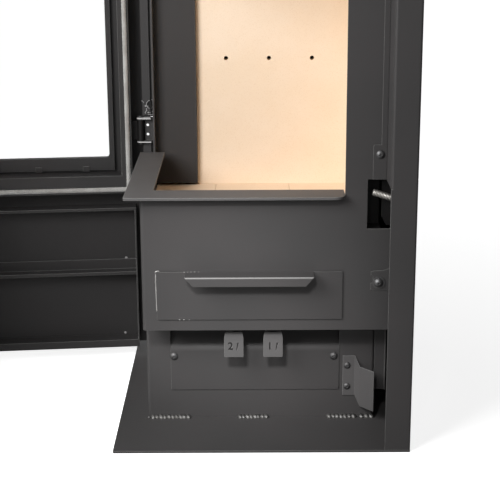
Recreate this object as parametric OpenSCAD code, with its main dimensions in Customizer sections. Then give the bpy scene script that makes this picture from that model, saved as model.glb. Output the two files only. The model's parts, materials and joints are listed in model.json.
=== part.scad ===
// Heat storage wood stove with a full-height corner door, shown with the door open.
// Millimetres, +Z up. X runs to the right, Y from the front to the back.
// The origin is at the middle of the underside of the base plate.

/* [Base plate and pedestal] */
// Width of the base plate
base_w = 500; // [490:1:540]
// Depth of the base plate
base_d = 560; // [550:1:620]
// Thickness of the base plate
base_t = 4; // [3:0.5:8]
// Height of the pedestal between the base plate and the stove body
pedestal_h = 188; // [182:1:220]
// Distance from the front of the base plate to the front of the pedestal
pedestal_setback = 143; // [138:1:150]

/* [Stove body] */
// Distance from each side of the base plate to the side of the body
side_gap = 50; // [48:0.5:54]
// Depth of the welded stove body
body_d = 410; // [400:1:430]
// Height of the welded stove body
body_h = 748; // [720:1:860]
// Distance from the front of the base plate to the front of the body
body_setback = 75; // [74:1:84]
// Thickness of the body's front and left sheet
sheet_t = 3; // [2.5:0.5:3.5]
// Thickness of the body's right, back, floor and top plates
wall_t = 4; // [3:0.5:6]
// Height of the fire door opening's lower edge above the body's underside
sill_h = 236; // [230:1:250]
// Height of the closed part of the body above the fire door opening
head_h = 60; // [56:1:80]
// Thickness of the hearth lip
sill_t = 4; // [3:0.5:5]

/* [Firebox] */
// Height of the fire bed above the body's underside
bed_h = 166; // [160:1:176]
// Thickness of the floor bricks
brick_t = 32; // [25:1:36]
// Thickness of the back and right linings
lining_t = 24; // [20:1:26]
// Diameter of the air holes in the back lining
air_hole_d = 8; // [5:0.5:12]
// Distance between the air holes
air_hole_pitch = 81.3; // [60:0.1:90]

/* [Door] */
// Angle that the door stands open
door_angle = 84.5; // [60:0.5:95]
// Thickness of the door's outer sheet
skin_t = 2.5; // [2:0.5:3]
// Height of the door's lower edge above the base plate
door_lift = 21; // [15:1:30]
// Diameter of the sealing rope
rope_d = 10; // [8:0.5:11]
// Thickness of the door glass
glass_t = 4; // [3:0.5:5]
// Diameter of the hinge pins
hinge_pin_d = 8; // [6:0.5:9]

/* [Ash drawer] */
// Distance from the body's left side to the drawer's front
drawer_left = 25; // [20:1:40]
// Distance from the drawer's front to the body's right side
drawer_right = 63; // [60:1:90]
// Height of the drawer's front
drawer_h = 84; // [70:1:90]
// Depth of the drawer's tray
tray_d = 270; // [200:1:300]
// Distance from each end of the drawer's front to the end of its handle
pull_margin = 48.5; // [30:0.5:70]

/* [Air controls] */
// Width of an air lever's tab
tab_w = 33; // [28:1:38]
// Distance between the two air levers
lever_pitch = 67.4; // [62:0.1:76]
// Outside diameter of the combustion air pipe
air_pipe_d = 100; // [80:1:110]

/* [Casing and flue] */
// Width of the casing's front pillar
pillar_w = 43; // [40:0.5:44]
// Depth of the air gap between the body's back and the casing
back_gap = 57; // [54:1:80]
// Height of the whole casing above the floor
casing_h = 1300; // [1250:1:1500]
// Thickness of the casing sheet
casing_t = 2; // [1.5:0.5:2.5]
// Outside diameter of the flue spigot
flue_d = 149; // [120:1:160]
// Length of the flue spigot above its flange
flue_l = 40; // [30:1:80]
// Number of heat storage layers
storage_layers = 4; // [3:1:4]

/* [Hidden] */
$fn = 64;

// Clearance between pieces that move past each other, and between flat pieces that don't touch
run_gap = 0.3;
// Radial clearance of a pin in its bore
pin_gap = 0.05;

// Colours, as the enamelled steel, bricks and bright parts show them
steel = [0.24, 0.24, 0.245];
steel_light = [0.30, 0.30, 0.305];
steel_dark = [0.12, 0.12, 0.125];
bright = [0.62, 0.62, 0.63];
brick = [0.96, 0.84, 0.69];

// Planes of the base, the body and its openings
base_x = base_w / 2;
front_y = -base_d / 2;
body_x = base_x - side_gap;
body_front = front_y + body_setback;
body_back = body_front + body_d;
body_z = base_t + pedestal_h;
body_top = body_z + body_h;
sill_z = body_z + sill_h;
opening_top = body_top - head_h;
opening_right = body_x - 60.5;
opening_rear = body_back - 62;
body_bend = 6;
inner_front = body_front + sheet_t;
inner_back = body_back - wall_t;
inner_left = -body_x + sheet_t;
inner_right = body_x - wall_t;
bed_z = body_z + bed_h;
floor_plate_z = bed_z - brick_t - wall_t;
lining_top = opening_top - 40;
lining_x = inner_right - lining_t;
lining_y = inner_back - lining_t;
duct_x = inner_left + 79;
air_mid = 19.8;
air_hole_z = bed_z + 243;

// Pedestal and what is screwed to it
pedestal_y = front_y + pedestal_setback;
pedestal_back = body_back - 15;
pedestal_t = 3;
cover_t = 2;
cover_x0 = -body_x + 42;
cover_x1 = body_x - 62;
cover_z0 = base_t + 53.5;
cover_z1 = body_z - 6;
cover_bend_z = base_t + 125;
cover_bend_r = 18;
cover_lean = 35;
cover_screws = [[cover_x0 + 5.8, base_t + 116.5], [cover_x1 - 9.3, base_t + 116]];
bracket_t = 2;
bracket_x0 = body_x - 55;
bracket_w = 21.5;
bracket_z0 = base_t + 42;
bracket_z1 = base_t + 116;
bracket_screws = [[bracket_x0 + 7.7, bracket_z0 + 16.7], [bracket_x0 + 7.7, bracket_z1 - 18]];
neck_angle = 30;
neck_l = 10;
ramp_angle = 49;
ramp_l = 35;
ramp_drop = 19;
screw_r = 4;
screw_head_r = 7;
screw_hole_r = screw_r + 0.3;

// Air valves: a sliding plate under the body's floor for each lever
valve_x = -12.5;
lever_x = [valve_x - lever_pitch / 2, valve_x + lever_pitch / 2];
lever_t = 3;
lever_z1 = body_z - run_gap;
lever_z0 = lever_z1 - lever_t;
neck_w = tab_w - 7;
tab_y = body_front + 22;
tab_z0 = body_z - 55.8;
tab_z1 = body_z - 10.7;
tab_shoulder = 11;
hanger_y = tab_y + 16;
hanger_z = tab_z0 + 24;
valve_y0 = body_front + 185;
valve_l = 90;
valve_w = 52;
port_r = 15;
port_y = valve_y0 + 25;
lever_travel = 35;
box_z = lever_z0 - run_gap;
box_x0 = valve_x - 75;
box_x1 = valve_x + 75;
box_y0 = valve_y0 - 15;
box_y1 = valve_y0 + 125;
pipe_z = base_t + 114;
pipe_wall = 2;
pipe_r = air_pipe_d / 2 - pipe_wall;
spigot_l = 36;

// Grate opening in the fire bed
grate_x0 = valve_x - 70;
grate_x1 = valve_x + 70;
grate_y0 = body_front + 110;
grate_y1 = body_front + 310;

// Ash drawer and its opening
drawer_x0 = -body_x + drawer_left;
drawer_x1 = body_x - drawer_right;
drawer_z0 = body_z + 20;
drawer_z1 = drawer_z0 + drawer_h;
drawer_t = 2.7;
tray_x0 = drawer_x0 + 11;
tray_x1 = drawer_x1 - 11;
tray_z0 = drawer_z0 + 4;
tray_z1 = drawer_z1 - 9;
tray_t = 1.5;
tray_y1 = body_front + tray_d;
hole_x0 = tray_x0 - 4;
hole_x1 = tray_x1 + 4;
hole_z0 = tray_z0 - run_gap;
hole_z1 = tray_z1 + 6;
pull_x = (drawer_x0 + drawer_x1) / 2;
pull_w = drawer_x1 - drawer_x0 - 2 * pull_margin;
pull_d = 30;
pull_t = 2.5;
pull_lip = 16;
pull_cut = 14;
pull_bend = 3.5;

// Casing and door planes
pillar_x = base_x - pillar_w;
casing_back = body_back + back_gap;
casing_bend = 4;
casing_fold = 18;
skin_x = -base_x;
skin_y = front_y;
door_end = pillar_x - 3.5;
door_z0 = base_t + door_lift;
door_z1 = body_top - 6;
hinge_x = -body_x - 27;
hinge_y = body_back - 18;
door_rear = hinge_y + 11;
hinge_z = [body_z + 270.5, opening_top - 57.5];
hinge_h = 49;
ear_t = 4;
knuckle_r = 7;

// Hearth lip
lip_x = body_x + 25;
lip_y = body_front - 23;
lip_inner_x = body_x - 21;
lip_inner_y = body_front + 34;
lip_round = 18;
lip_end = opening_rear - 1;

// Latch: the rod behind the front sheet, the slot through it and the hook on the door
slot_x0 = body_x - 23.7;
slot_x1 = body_x + 15;
slot_z0 = body_z + 177;
slot_z1 = body_z + 261;
slot_round = 5;
front_end = body_x + 22;
rod_r = 6;
rod_tilt = 17.5;
rod_y = inner_front + rod_r + 0.2;
rod_z = slot_z1 - 27.5;
rod_l0 = 13;
rod_l1 = 39;
nut_t = 6;
pocket_t = 2;
pocket_x0 = slot_x0 - pocket_t - run_gap;
pocket_y1 = inner_front + 42;
pocket_z0 = slot_z0 - 3;
pocket_z1 = slot_z1 + 3;
flange_l = 25;
flange_t = 5;
hook_t = 5;
hook_x = door_end - 8;
hook_mid = hook_x + hook_t / 2;
hook_tip_y0 = rod_y + rod_r + 0.4;
hook_tip_y1 = hook_tip_y0 + 4.4;
pivot_y = front_y + 26;
pivot_z = rod_z - 14;
pivot_r = 4;
ear_l = 4;
latch_lift = 16;
grip_r = 8;
grip_y = front_y - 26;
grip_l = 140;
plate_t = 1.5;
stop_x0 = body_x - 12;
latch_screw = [body_x - 4, body_z + 302.7];
stop_screw = [body_x - 2.3, body_z + 83.8];

// Door windows, glass and seal
window_z0 = sill_z - 20;
window_z1 = opening_top + 8;
window_rear = hinge_y - 62;
window_end = opening_right - 8;
post_w = 40;
retainer_w = 9.5;
retainer_low = 24.5;
window_round = 6;
retainer_t = 2.5;
glass_lap = 8;
glass_gap = 3.5;
seal_gap = 6;
seal_t = 2;
seal_back = rope_d + run_gap + 0.3;
groove_w = rope_d + 1;
seal_rear = hinge_y - 18.5;
seal_rear_in = seal_rear - 20.5;
seal_end = opening_right + 31.5;
seal_end_in = seal_end - 20.5;
seal_z0 = body_z + 151.5;
seal_z0_in = seal_z0 + 34.3;
seal_z1 = opening_top + 46;
seal_z1_in = seal_z1 - 24;
rope_off = rope_d / 2 + run_gap;
frame_d = 29.5;
frame_d_side = 33.5;
frame_t = 2.5;
stiff_x = skin_x + skin_t + frame_d_side;
stiff_y = skin_y + skin_t + frame_d;
lower_z1 = seal_z0 - 31.5;
pane_x0 = skin_x + skin_t + glass_gap;
pane_x1 = pane_x0 + glass_t;
pane_y0 = skin_y + skin_t + glass_gap;
pane_y1 = pane_y0 + glass_t;

// Storage chamber, flue and baffles
flue_r = flue_d / 2;
flue_wall = 2.5;
flue_y = 40;
shelf_z = body_top;
block_z0 = shelf_z + casing_t;
block_h = (casing_h - wall_t - block_z0 - 34) / storage_layers;
block_x = body_x - 15;
flue_flange_r = flue_r + 10;

// A box from its low corner to its high corner
module block(a, b) {
    translate(a)
        cube([b[0] - a[0], b[1] - a[1], b[2] - a[2]]);
}

// A flat rectangle with round corners
module round_rect(a, b, r) {
    translate([a[0] + r, a[1]])
        square([b[0] - a[0] - 2 * r, b[1] - a[1]]);
    translate([a[0], a[1] + r])
        square([b[0] - a[0], b[1] - a[1] - 2 * r]);
    for (x = [a[0] + r, b[0] - r])
        for (y = [a[1] + r, b[1] - r])
            translate([x, y])
                circle(r);
}

// A quarter of a round bend in a sheet, in a quadrant counted from +X +Y
module bend(c, r, t, quadrant) {
    translate(c)
        rotate(quadrant * 90)
            intersection() {
                difference() {
                    circle(r);
                    circle(r - t);
                }
                square(r);
            }
}

// A flat rectangle with one round corner, at its high X and high Y
module one_round(a, b, r) {
    translate(a)
        square([b[0] - a[0], b[1] - a[1] - r]);
    translate(a)
        square([b[0] - a[0] - r, b[1] - a[1]]);
    translate([b[0] - r, b[1] - r])
        circle(r);
}

// Plan of the space inside the body, round where its sheet is bent
module inner_plan() {
    r = body_bend - sheet_t;
    translate([inner_left + r, inner_front])
        square([inner_right - inner_left - r, inner_back - inner_front]);
    translate([inner_left, inner_front + r])
        square([inner_right - inner_left, inner_back - inner_front - r]);
    translate([inner_left + r, inner_front + r])
        circle(r);
}

// An L-shaped band that runs forward along the left side and then along the front,
// between an outer corner and an inner corner
module corner_band(outer, inner, rear, end) {
    polygon([[outer[0], rear], outer, [end, outer[1]], [end, inner[1]], inner, [inner[0], rear]]);
}

// The same band as a wall of a height
module corner_wall(outer, inner, rear, end, z0, z1) {
    translate([0, 0, z0])
        linear_extrude(z1 - z0)
            corner_band(outer, inner, rear, end);
}

// A tube or bar along Z
module tube(r_out, r_in, z0, z1) {
    translate([0, 0, z0])
        difference() {
            cylinder(r = r_out, h = z1 - z0);
            if (r_in > 0)
                translate([0, 0, -1])
                    cylinder(r = r_in, h = z1 - z0 + 2);
        }
}

// A bore along Y from the front to the back of a sheet
module bore_y(x, z, r, y0, y1) {
    translate([x, y0 - 1, z])
        rotate([-90, 0, 0])
            cylinder(r = r, h = y1 - y0 + 2);
}

// A round-headed screw with a hexagon socket, its head towards -Y and its seat at y
module screw(x, y, z, head_r, head_h, shank_l) {
    dome_r = (head_r * head_r + head_h * head_h) / (2 * head_h) * 1.15;
    translate([x, y, z])
        rotate([90, 0, 0]) {
            difference() {
                intersection() {
                    cylinder(r = head_r, h = head_h);
                    translate([0, 0, head_h - dome_r])
                        sphere(r = dome_r);
                }
                translate([0, 0, head_h * 0.4])
                    cylinder(r = screw_r * 0.65, h = head_h, $fn = 6);
            }
            translate([0, 0, -shank_l])
                cylinder(r = screw_r, h = shank_l);
        }
}

// Turns a door piece from its closed place to where the open door holds it
module on_open_door() {
    translate([hinge_x, hinge_y, 0])
        rotate([0, 0, -door_angle])
            translate([-hinge_x, -hinge_y, 0])
                children();
}

// Turns a piece of the door latch from its latched place to its lifted place
module on_lifted_latch() {
    translate([0, pivot_y, pivot_z])
        rotate([-latch_lift, 0, 0])
            translate([0, -pivot_y, -pivot_z])
                children();
}

module base_plate() {
    color(steel)
        linear_extrude(base_t)
            round_rect([-base_x, front_y], [base_x, -front_y], 2);
}

module pedestal() {
    color(steel)
        difference() {
            translate([0, 0, base_t])
                linear_extrude(pedestal_h)
                    round_rect([-body_x, pedestal_y], [body_x, pedestal_back], 5);
            block([-body_x + pedestal_t, pedestal_y + pedestal_t, base_t - 1],
                [body_x - pedestal_t, pedestal_back - pedestal_t, body_z + 1]);
            block([cover_x0 + 22, pedestal_y - 1, cover_z0 + 16],
                [cover_x1 - 30, pedestal_y + pedestal_t + 1, cover_bend_z]);
            block([cover_x0 - run_gap, pedestal_y - 1, cover_bend_z - run_gap],
                [cover_x1 + run_gap, pedestal_y + pedestal_t + 1, body_z + 1]);
            for (p = concat(cover_screws, bracket_screws))
                bore_y(p[0], p[1], screw_hole_r, pedestal_y, pedestal_y + pedestal_t);
            bore_y(valve_x, pipe_z, pipe_r + run_gap, pedestal_back - pedestal_t,
                pedestal_back);
        }
}

// Four weld beads in the corner where the pedestal stands on the base plate
module pedestal_welds() {
    bead_h = 6.5;
    bead_d = 9.5;
    runs = [[-body_x + 4.5, 70], [-41, 54], [body_x - 83, 52], [body_x - 25, 25]];
    color(bright)
        for (run = runs)
            translate([run[0], pedestal_y, base_t])
                rotate([90, 0, 90])
                    linear_extrude(run[1])
                        scale([bead_d / bead_h, 1])
                            intersection() {
                                circle(bead_h);
                                translate([-bead_h, 0])
                                    square(bead_h);
                            }
}

// Screwed cover of the air box, flat below and bent back above to let the air in under
// the body round the levers
module air_box_cover() {
    turns = [for (i = [0:6]) cover_lean * i / 6];
    mid = [pedestal_y + cover_bend_r, cover_bend_z];
    rise = (cover_z1 - mid[1] - cover_bend_r * sin(cover_lean)) / cos(cover_lean);
    run = rise * [sin(cover_lean), cos(cover_lean)];
    front = [for (a = turns) mid + (cover_bend_r + cover_t) * [-cos(a), sin(a)]];
    back = [for (a = turns) mid + cover_bend_r * [-cos(a), sin(a)]];
    color(steel_light)
        difference() {
            translate([cover_x0, 0, 0])
                rotate([90, 0, 90])
                    linear_extrude(cover_x1 - cover_x0)
                        polygon(concat([[pedestal_y - cover_t, cover_z0]], front,
                            [front[6] + run, back[6] + run], [for (i = [6:-1:0]) back[i]],
                            [[pedestal_y, cover_z0]]));
            for (p = cover_screws)
                bore_y(p[0], p[1], screw_hole_r, pedestal_y - cover_t, pedestal_y);
        }
}

module air_cover_screws() {
    color(bright)
        for (p = cover_screws)
            screw(p[0], pedestal_y - cover_t, p[1], screw_head_r, 4, cover_t + pedestal_t + 4);
}

// A screwed plate whose free side is bent forward in two steps as a ramp for the closing
// door: its bent plan, cut to the outline that shows from the front
module guide_bracket() {
    h = bracket_z1 - bracket_z0;
    low = -ramp_drop;
    top = h - ramp_drop;
    fold = [bracket_x0 + bracket_w, pedestal_y];
    bend = fold + neck_l * [cos(neck_angle), -sin(neck_angle)];
    end = bend + ramp_l * [cos(ramp_angle), -sin(ramp_angle)];
    half = (ramp_angle - neck_angle) / 2;
    facing = [for (a = [neck_angle / 2, neck_angle + half, ramp_angle]) [-sin(a), -cos(a)]];
    plan = [[bracket_x0, pedestal_y], fold, bend, end, end + bracket_t * facing[2],
        bend + bracket_t / cos(half) * facing[1],
        fold + bracket_t / cos(neck_angle / 2) * facing[0],
        [bracket_x0, pedestal_y - bracket_t]];
    outline = [[bracket_x0 - 1, 0], [fold[0], 0], [bend[0], low], [end[0] - 1, low],
        [end[0], low + 1], [end[0], top - 1], [end[0] - 1, top], [bend[0], top],
        [fold[0], h], [bracket_x0 - 1, h]];
    color(steel_light)
        difference() {
            intersection() {
                translate([0, 0, bracket_z0 + low])
                    linear_extrude(h - low)
                        polygon(plan);
                translate([0, pedestal_y + 1, bracket_z0])
                    rotate([90, 0, 0])
                        linear_extrude(ramp_l + neck_l + 2)
                            polygon(outline);
            }
            for (p = bracket_screws)
                bore_y(p[0], p[1], screw_hole_r, pedestal_y - bracket_t, pedestal_y);
        }
}

module guide_screws() {
    color(bright)
        for (p = bracket_screws)
            screw(p[0], pedestal_y - bracket_t, p[1], screw_head_r - 1, 3.5,
                bracket_t + pedestal_t + 4);
}

// Narrow plate that closes the gap beside the pedestal, with its free edge bent forward
module gap_plate() {
    reach = 19.5;
    color(steel_light) {
        block([body_x, pedestal_y - cover_t, cover_z0], [body_x + reach, pedestal_y, body_z]);
        block([body_x + reach - 1.5, pedestal_y - cover_t - 4, cover_z0],
            [body_x + reach, pedestal_y - cover_t, body_z]);
    }
}

// Front and left side of the body, one sheet bent round the front left corner
module body_shell() {
    cx = -body_x + body_bend;
    cy = body_front + body_bend;
    color(steel)
        difference() {
            translate([0, 0, body_z])
                linear_extrude(body_h) {
                    translate([cx, body_front])
                        square([front_end - cx, sheet_t]);
                    translate([-body_x, cy])
                        square([sheet_t, body_back - cy]);
                    bend([cx, cy], body_bend, sheet_t, 2);
                }
            block([-body_x - 1, body_front - 1, sill_z - sill_t],
                [opening_right, opening_rear, opening_top]);
            block([hole_x0, body_front - 1, hole_z0], [hole_x1, inner_front + 1, hole_z1]);
            translate([0, inner_front + 1, 0])
                rotate([90, 0, 0])
                    linear_extrude(sheet_t + 2)
                        one_round([slot_x0, slot_z0], [slot_x1, slot_z1], slot_round);
            for (p = [latch_screw, stop_screw])
                bore_y(p[0], p[1], screw_hole_r, body_front, inner_front);
        }
}

// Right and back walls of the body
module body_inner_walls() {
    color(steel_dark)
        difference() {
            union() {
                block([inner_right, inner_front, body_z], [body_x, body_back, body_top]);
                block([inner_left, inner_back, body_z], [inner_right, body_back, body_top]);
            }
            block([inner_right - 1, inner_front - 1, pocket_z0], [body_x + 1, pocket_y1, pocket_z1]);
            for (i = [-1, 0, 1])
                bore_y(air_mid + i * air_hole_pitch, air_hole_z, air_hole_d / 2, inner_back,
                    body_back);
        }
}

module body_floor_plate() {
    color(steel_dark)
        difference() {
            translate([0, 0, body_z])
                linear_extrude(sheet_t)
                    inner_plan();
            for (x = lever_x)
                translate([x, port_y, body_z - 1])
                    cylinder(r = port_r, h = sheet_t + 2);
        }
}

module body_top_plate() {
    color(steel_dark)
        difference() {
            translate([0, 0, body_top - wall_t])
                linear_extrude(wall_t)
                    inner_plan();
            translate([0, flue_y, body_top - wall_t - 1])
                cylinder(r = flue_r - flue_wall, h = wall_t + 2);
        }
}

// L-shaped hearth lip round the corner opening, its right end rounded off
module hearth_sill() {
    end_x = opening_right - run_gap;
    color(steel_light)
        translate([0, 0, sill_z - sill_t])
            linear_extrude(sill_t) {
                polygon([[-lip_x + 3, lip_y], [end_x - lip_round, lip_y],
                    [end_x - lip_round, lip_inner_y], [-lip_inner_x, lip_inner_y],
                    [-lip_inner_x, lip_end], [-lip_x, lip_end], [-lip_x, lip_y + 3]]);
                translate([end_x - lip_round, lip_y + lip_round])
                    square([lip_round, lip_inner_y - lip_y - lip_round]);
                intersection() {
                    translate([end_x - lip_round, lip_y + lip_round])
                        circle(lip_round);
                    translate([end_x - lip_round, lip_y])
                        square(lip_round);
                }
                intersection() {
                    translate([-lip_x + 3, lip_y + 3])
                        circle(3);
                    translate([-lip_x, lip_y])
                        square(3);
                }
            }
}

module firebox_floor_plate() {
    color(steel_dark)
        difference() {
            translate([0, 0, floor_plate_z])
                linear_extrude(wall_t)
                    inner_plan();
            block([grate_x0 + 12, grate_y0 + 12, floor_plate_z - 1],
                [grate_x1 - 12, grate_y1 - 12, floor_plate_z + wall_t + 1]);
        }
}

module floor_bricks() {
    gap = 0.6;
    edge = 0.9;
    x0 = inner_left + edge;
    x1 = inner_right - edge;
    y0 = inner_front + edge;
    y1 = inner_back - edge;
    z0 = bed_z - brick_t;
    color(brick) {
        block([x0, y0, z0], [grate_x0 - gap, y1, bed_z]);
        block([grate_x1 + gap, y0, z0], [x1, y1, bed_z]);
        block([grate_x0, y0, z0], [grate_x1, grate_y0 - gap, bed_z]);
        block([grate_x0, grate_y1 + gap, z0], [grate_x1, y1, bed_z]);
    }
}

// Cast grate with slots, standing on four feet
module grate() {
    slot_n = 8;
    slot_w = 9;
    rim = 14;
    plate_h = 13;
    gap = 0.6;
    pitch = (grate_y1 - grate_y0 - 2 * rim) / slot_n;
    color(steel_dark)
        difference() {
            union() {
                block([grate_x0 + gap, grate_y0 + gap, bed_z - plate_h],
                    [grate_x1 - gap, grate_y1 - gap, bed_z - 1]);
                for (x = [grate_x0 + gap, grate_x1 - gap - 9])
                    for (y = [grate_y0 + gap, grate_y1 - gap - 9])
                        block([x, y, bed_z - brick_t], [x + 9, y + 9, bed_z - plate_h]);
            }
            for (i = [0 : slot_n - 1])
                block([grate_x0 + rim, grate_y0 + rim + i * pitch + (pitch - slot_w) / 2,
                    bed_z - plate_h - 1],
                    [grate_x1 - rim, grate_y0 + rim + i * pitch + (pitch + slot_w) / 2, bed_z]);
        }
}

module back_lining() {
    color(brick)
        difference() {
            block([duct_x, lining_y, bed_z], [inner_right - 0.3, inner_back, lining_top]);
            for (i = [-1, 0, 1])
                bore_y(air_mid + i * air_hole_pitch, air_hole_z, air_hole_d / 2, lining_y,
                    inner_back);
        }
}

// Right lining, notched over the latch pocket
module right_lining() {
    color(brick)
        difference() {
            block([lining_x, inner_front + 0.5, bed_z],
                [inner_right, lining_y - run_gap, lining_top]);
            block([lining_x - 1, inner_front - 1, bed_z - 1],
                [inner_right + 1, pocket_y1 + run_gap, pocket_z1 + run_gap]);
        }
}

// Low bricks behind the front sheet, under the hearth lip
module front_lining() {
    color(brick)
        block([inner_left + body_bend - sheet_t, inner_front, bed_z],
            [pocket_x0 - run_gap, inner_front + lining_t - run_gap, sill_z - sill_t]);
}

module baffle_bricks() {
    depth = 0.53 * (lining_y - inner_front);
    color(brick)
        block([inner_left + 2, lining_y - depth, lining_top],
            [inner_right - 2, inner_back - 1, lining_top + lining_t]);
}

// Upper smoke baffle on four rests
module baffle_plate() {
    z = lining_top + lining_t + 24;
    rest = [20, 30, 3];
    x1 = inner_right - rest[0];
    y0 = inner_front + 1;
    y1 = inner_back - 0.27 * (inner_back - inner_front);
    color(steel_dark) {
        block([inner_left + 1, y0, z], [x1, y1, z + rest[2]]);
        for (y = [y0 + rest[1], y1 - 2 * rest[1]]) {
            block([inner_left, y, z - rest[2]], [inner_left + rest[0], y + rest[1], z]);
            block([x1 - rest[0], y, z - rest[2]], [inner_right, y + rest[1], z]);
        }
    }
}

// Folded steel duct in the rear left corner of the firebox
module riser_duct() {
    t = 2;
    y0 = lining_y - 12;
    color(steel_light)
        difference() {
            block([inner_left + run_gap, y0, bed_z + 5],
                [duct_x - run_gap, inner_back, lining_top]);
            block([inner_left + run_gap + t, y0 + t, bed_z + 4],
                [duct_x - run_gap - t, inner_back + 1, lining_top + 1]);
        }
}

// Air channel on the outside of the back wall, which feeds the row of holes
module air_channel() {
    t = 2;
    d = 20;
    half_w = air_hole_pitch + 38.7;
    z1 = air_hole_z + 40;
    color(steel_dark)
        difference() {
            block([air_mid - half_w, body_back, body_z], [air_mid + half_w, body_back + d, z1]);
            block([air_mid - half_w + t, body_back - 1, body_z - 1],
                [air_mid + half_w - t, body_back + d - t, z1 - t]);
        }
}

// Air valve box on the base plate, with a port under each lever's plate and its inlet pipe
module air_valve_box() {
    t = 2;
    color(steel_dark) {
        difference() {
            block([box_x0, box_y0, base_t], [box_x1, box_y1, box_z]);
            block([box_x0 + t, box_y0 + t, base_t - 1], [box_x1 - t, box_y1 - t, box_z - t]);
            for (x = lever_x)
                translate([x, port_y, box_z - t - 1])
                    cylinder(r = port_r, h = t + 2);
            bore_y(valve_x, pipe_z, pipe_r - pipe_wall, box_y1 - t, box_y1);
        }
        translate([valve_x, box_y1, pipe_z])
            rotate([-90, 0, 0]) {
                tube(pipe_r, pipe_r - pipe_wall, 0, casing_back - box_y1 + 2);
                tube(air_pipe_d / 2, pipe_r - pipe_wall, casing_back - box_y1 + 2,
                    casing_back - box_y1 + 2 + spigot_l);
            }
    }
}

// U-shaped guides that hold the levers up under the body's floor
module lever_guides() {
    t = 2;
    side = run_gap + 0.1;
    color(steel_dark)
        for (x = lever_x)
            for (y = [pedestal_y + 12, pedestal_y + 66])
                difference() {
                    block([x - neck_w / 2 - side - t, y, box_z - t],
                        [x + neck_w / 2 + side + t, y + 12, body_z]);
                    block([x - neck_w / 2 - side, y - 1, box_z],
                        [x + neck_w / 2 + side, y + 13, body_z + 1]);
                }
}

// One air lever: the tab, the stepped hanger behind it, the flat rod and the valve plate
// with its port
module air_lever(x) {
    half = tab_w / 2;
    top = half - 1.7;
    color(steel_light) {
        translate([x, tab_y, 0])
            rotate([90, 0, 0])
                linear_extrude(lever_t)
                    polygon([[-half + 1, tab_z0], [half - 1, tab_z0], [half, tab_z0 + 1],
                        [half, tab_z1 - tab_shoulder], [top, tab_z1], [-top, tab_z1],
                        [-half, tab_z1 - tab_shoulder], [-half, tab_z0 + 1]]);
        block([x - neck_w / 2, tab_y - 1, hanger_z],
            [x + neck_w / 2, hanger_y + lever_t, hanger_z + lever_t]);
        difference() {
            union() {
                block([x - neck_w / 2, hanger_y, hanger_z],
                    [x + neck_w / 2, hanger_y + lever_t, lever_z1]);
                block([x - neck_w / 2, hanger_y + 1, lever_z0],
                    [x + neck_w / 2, valve_y0 + 1, lever_z1]);
                block([x - valve_w / 2, valve_y0, lever_z0],
                    [x + valve_w / 2, valve_y0 + valve_l, lever_z1]);
            }
            translate([x, port_y + lever_travel, lever_z0 - 1])
                cylinder(r = port_r - 3, h = lever_t + 2);
        }
    }
}

module secondary_air_lever() {
    air_lever(lever_x[0]);
}

module primary_air_lever() {
    air_lever(lever_x[1]);
}

// Screwed plate over the latch, with a narrow strip up the edge of the front sheet
module latch_cover() {
    x0 = slot_x0 + 8;
    x1 = pillar_x - 0.5;
    strip_w = 9;
    color(steel_light)
        difference() {
            translate([0, body_front, 0])
                rotate([90, 0, 0])
                    linear_extrude(plate_t) {
                        translate([x0 + x1, 0])
                            mirror([1, 0])
                                one_round([x0, slot_z1], [x1, slot_z1 + 58], 3);
                        translate([x1 - strip_w, slot_z1 + 54])
                            square([strip_w, body_top - slot_z1 - 54]);
                    }
            bore_y(latch_screw[0], latch_screw[1], screw_hole_r, body_front - plate_t,
                body_front);
        }
}

// Small plate with torn tabs and a raised end that stops the lower end of the latch
module latch_stop() {
    z0 = stop_screw[1] - 13.5;
    z1 = stop_screw[1] + 21.5;
    x1 = front_end - 4;
    tab = 3.5;
    color(steel_light)
        difference() {
            translate([0, body_front, 0])
                rotate([90, 0, 0])
                    linear_extrude(plate_t) {
                        polygon([[stop_x0, z0], [x1, z0], [x1, z1 + 3], [x1 - 5, z1 + 2.5],
                            [x1 - 12, z1], [stop_x0, z1 - 1]]);
                        translate([stop_x0 - tab, z1 - 9])
                            square([tab + 1, 7]);
                        translate([stop_x0 - tab, z0 + 1])
                            square([tab + 1, 12]);
                    }
            bore_y(stop_screw[0], stop_screw[1], screw_hole_r, body_front - plate_t, body_front);
        }
}

// Two screws of the latch plates, the lower one on a wide washer
module latch_screws() {
    washer_r = 10.5;
    washer_t = 1.5;
    shank = plate_t + sheet_t;
    color(bright) {
        screw(latch_screw[0], body_front - plate_t, latch_screw[1], 7, 4, shank);
        screw(stop_screw[0], body_front - plate_t - washer_t, stop_screw[1], 7.5, 5,
            shank + washer_t);
        translate([stop_screw[0], body_front - plate_t, stop_screw[1]])
            rotate([90, 0, 0])
                tube(washer_r, 0, 0, washer_t);
    }
}

// Turns a piece drawn along Z at the origin into the place of the sloping latch rod
module on_latch_rod() {
    translate([hook_mid, rod_y, rod_z])
        rotate([0, 90 + rod_tilt, 0])
            children();
}

// Threaded rod that the door's hook catches, with the nut that locks it
module latch_rod() {
    color(bright)
        on_latch_rod() {
            tube(rod_r, 0, -rod_l0, rod_l1);
            translate([0, 0, flange_l + flange_t])
                cylinder(r = rod_r * 1.75, h = nut_t, $fn = 6);
        }
}

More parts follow.
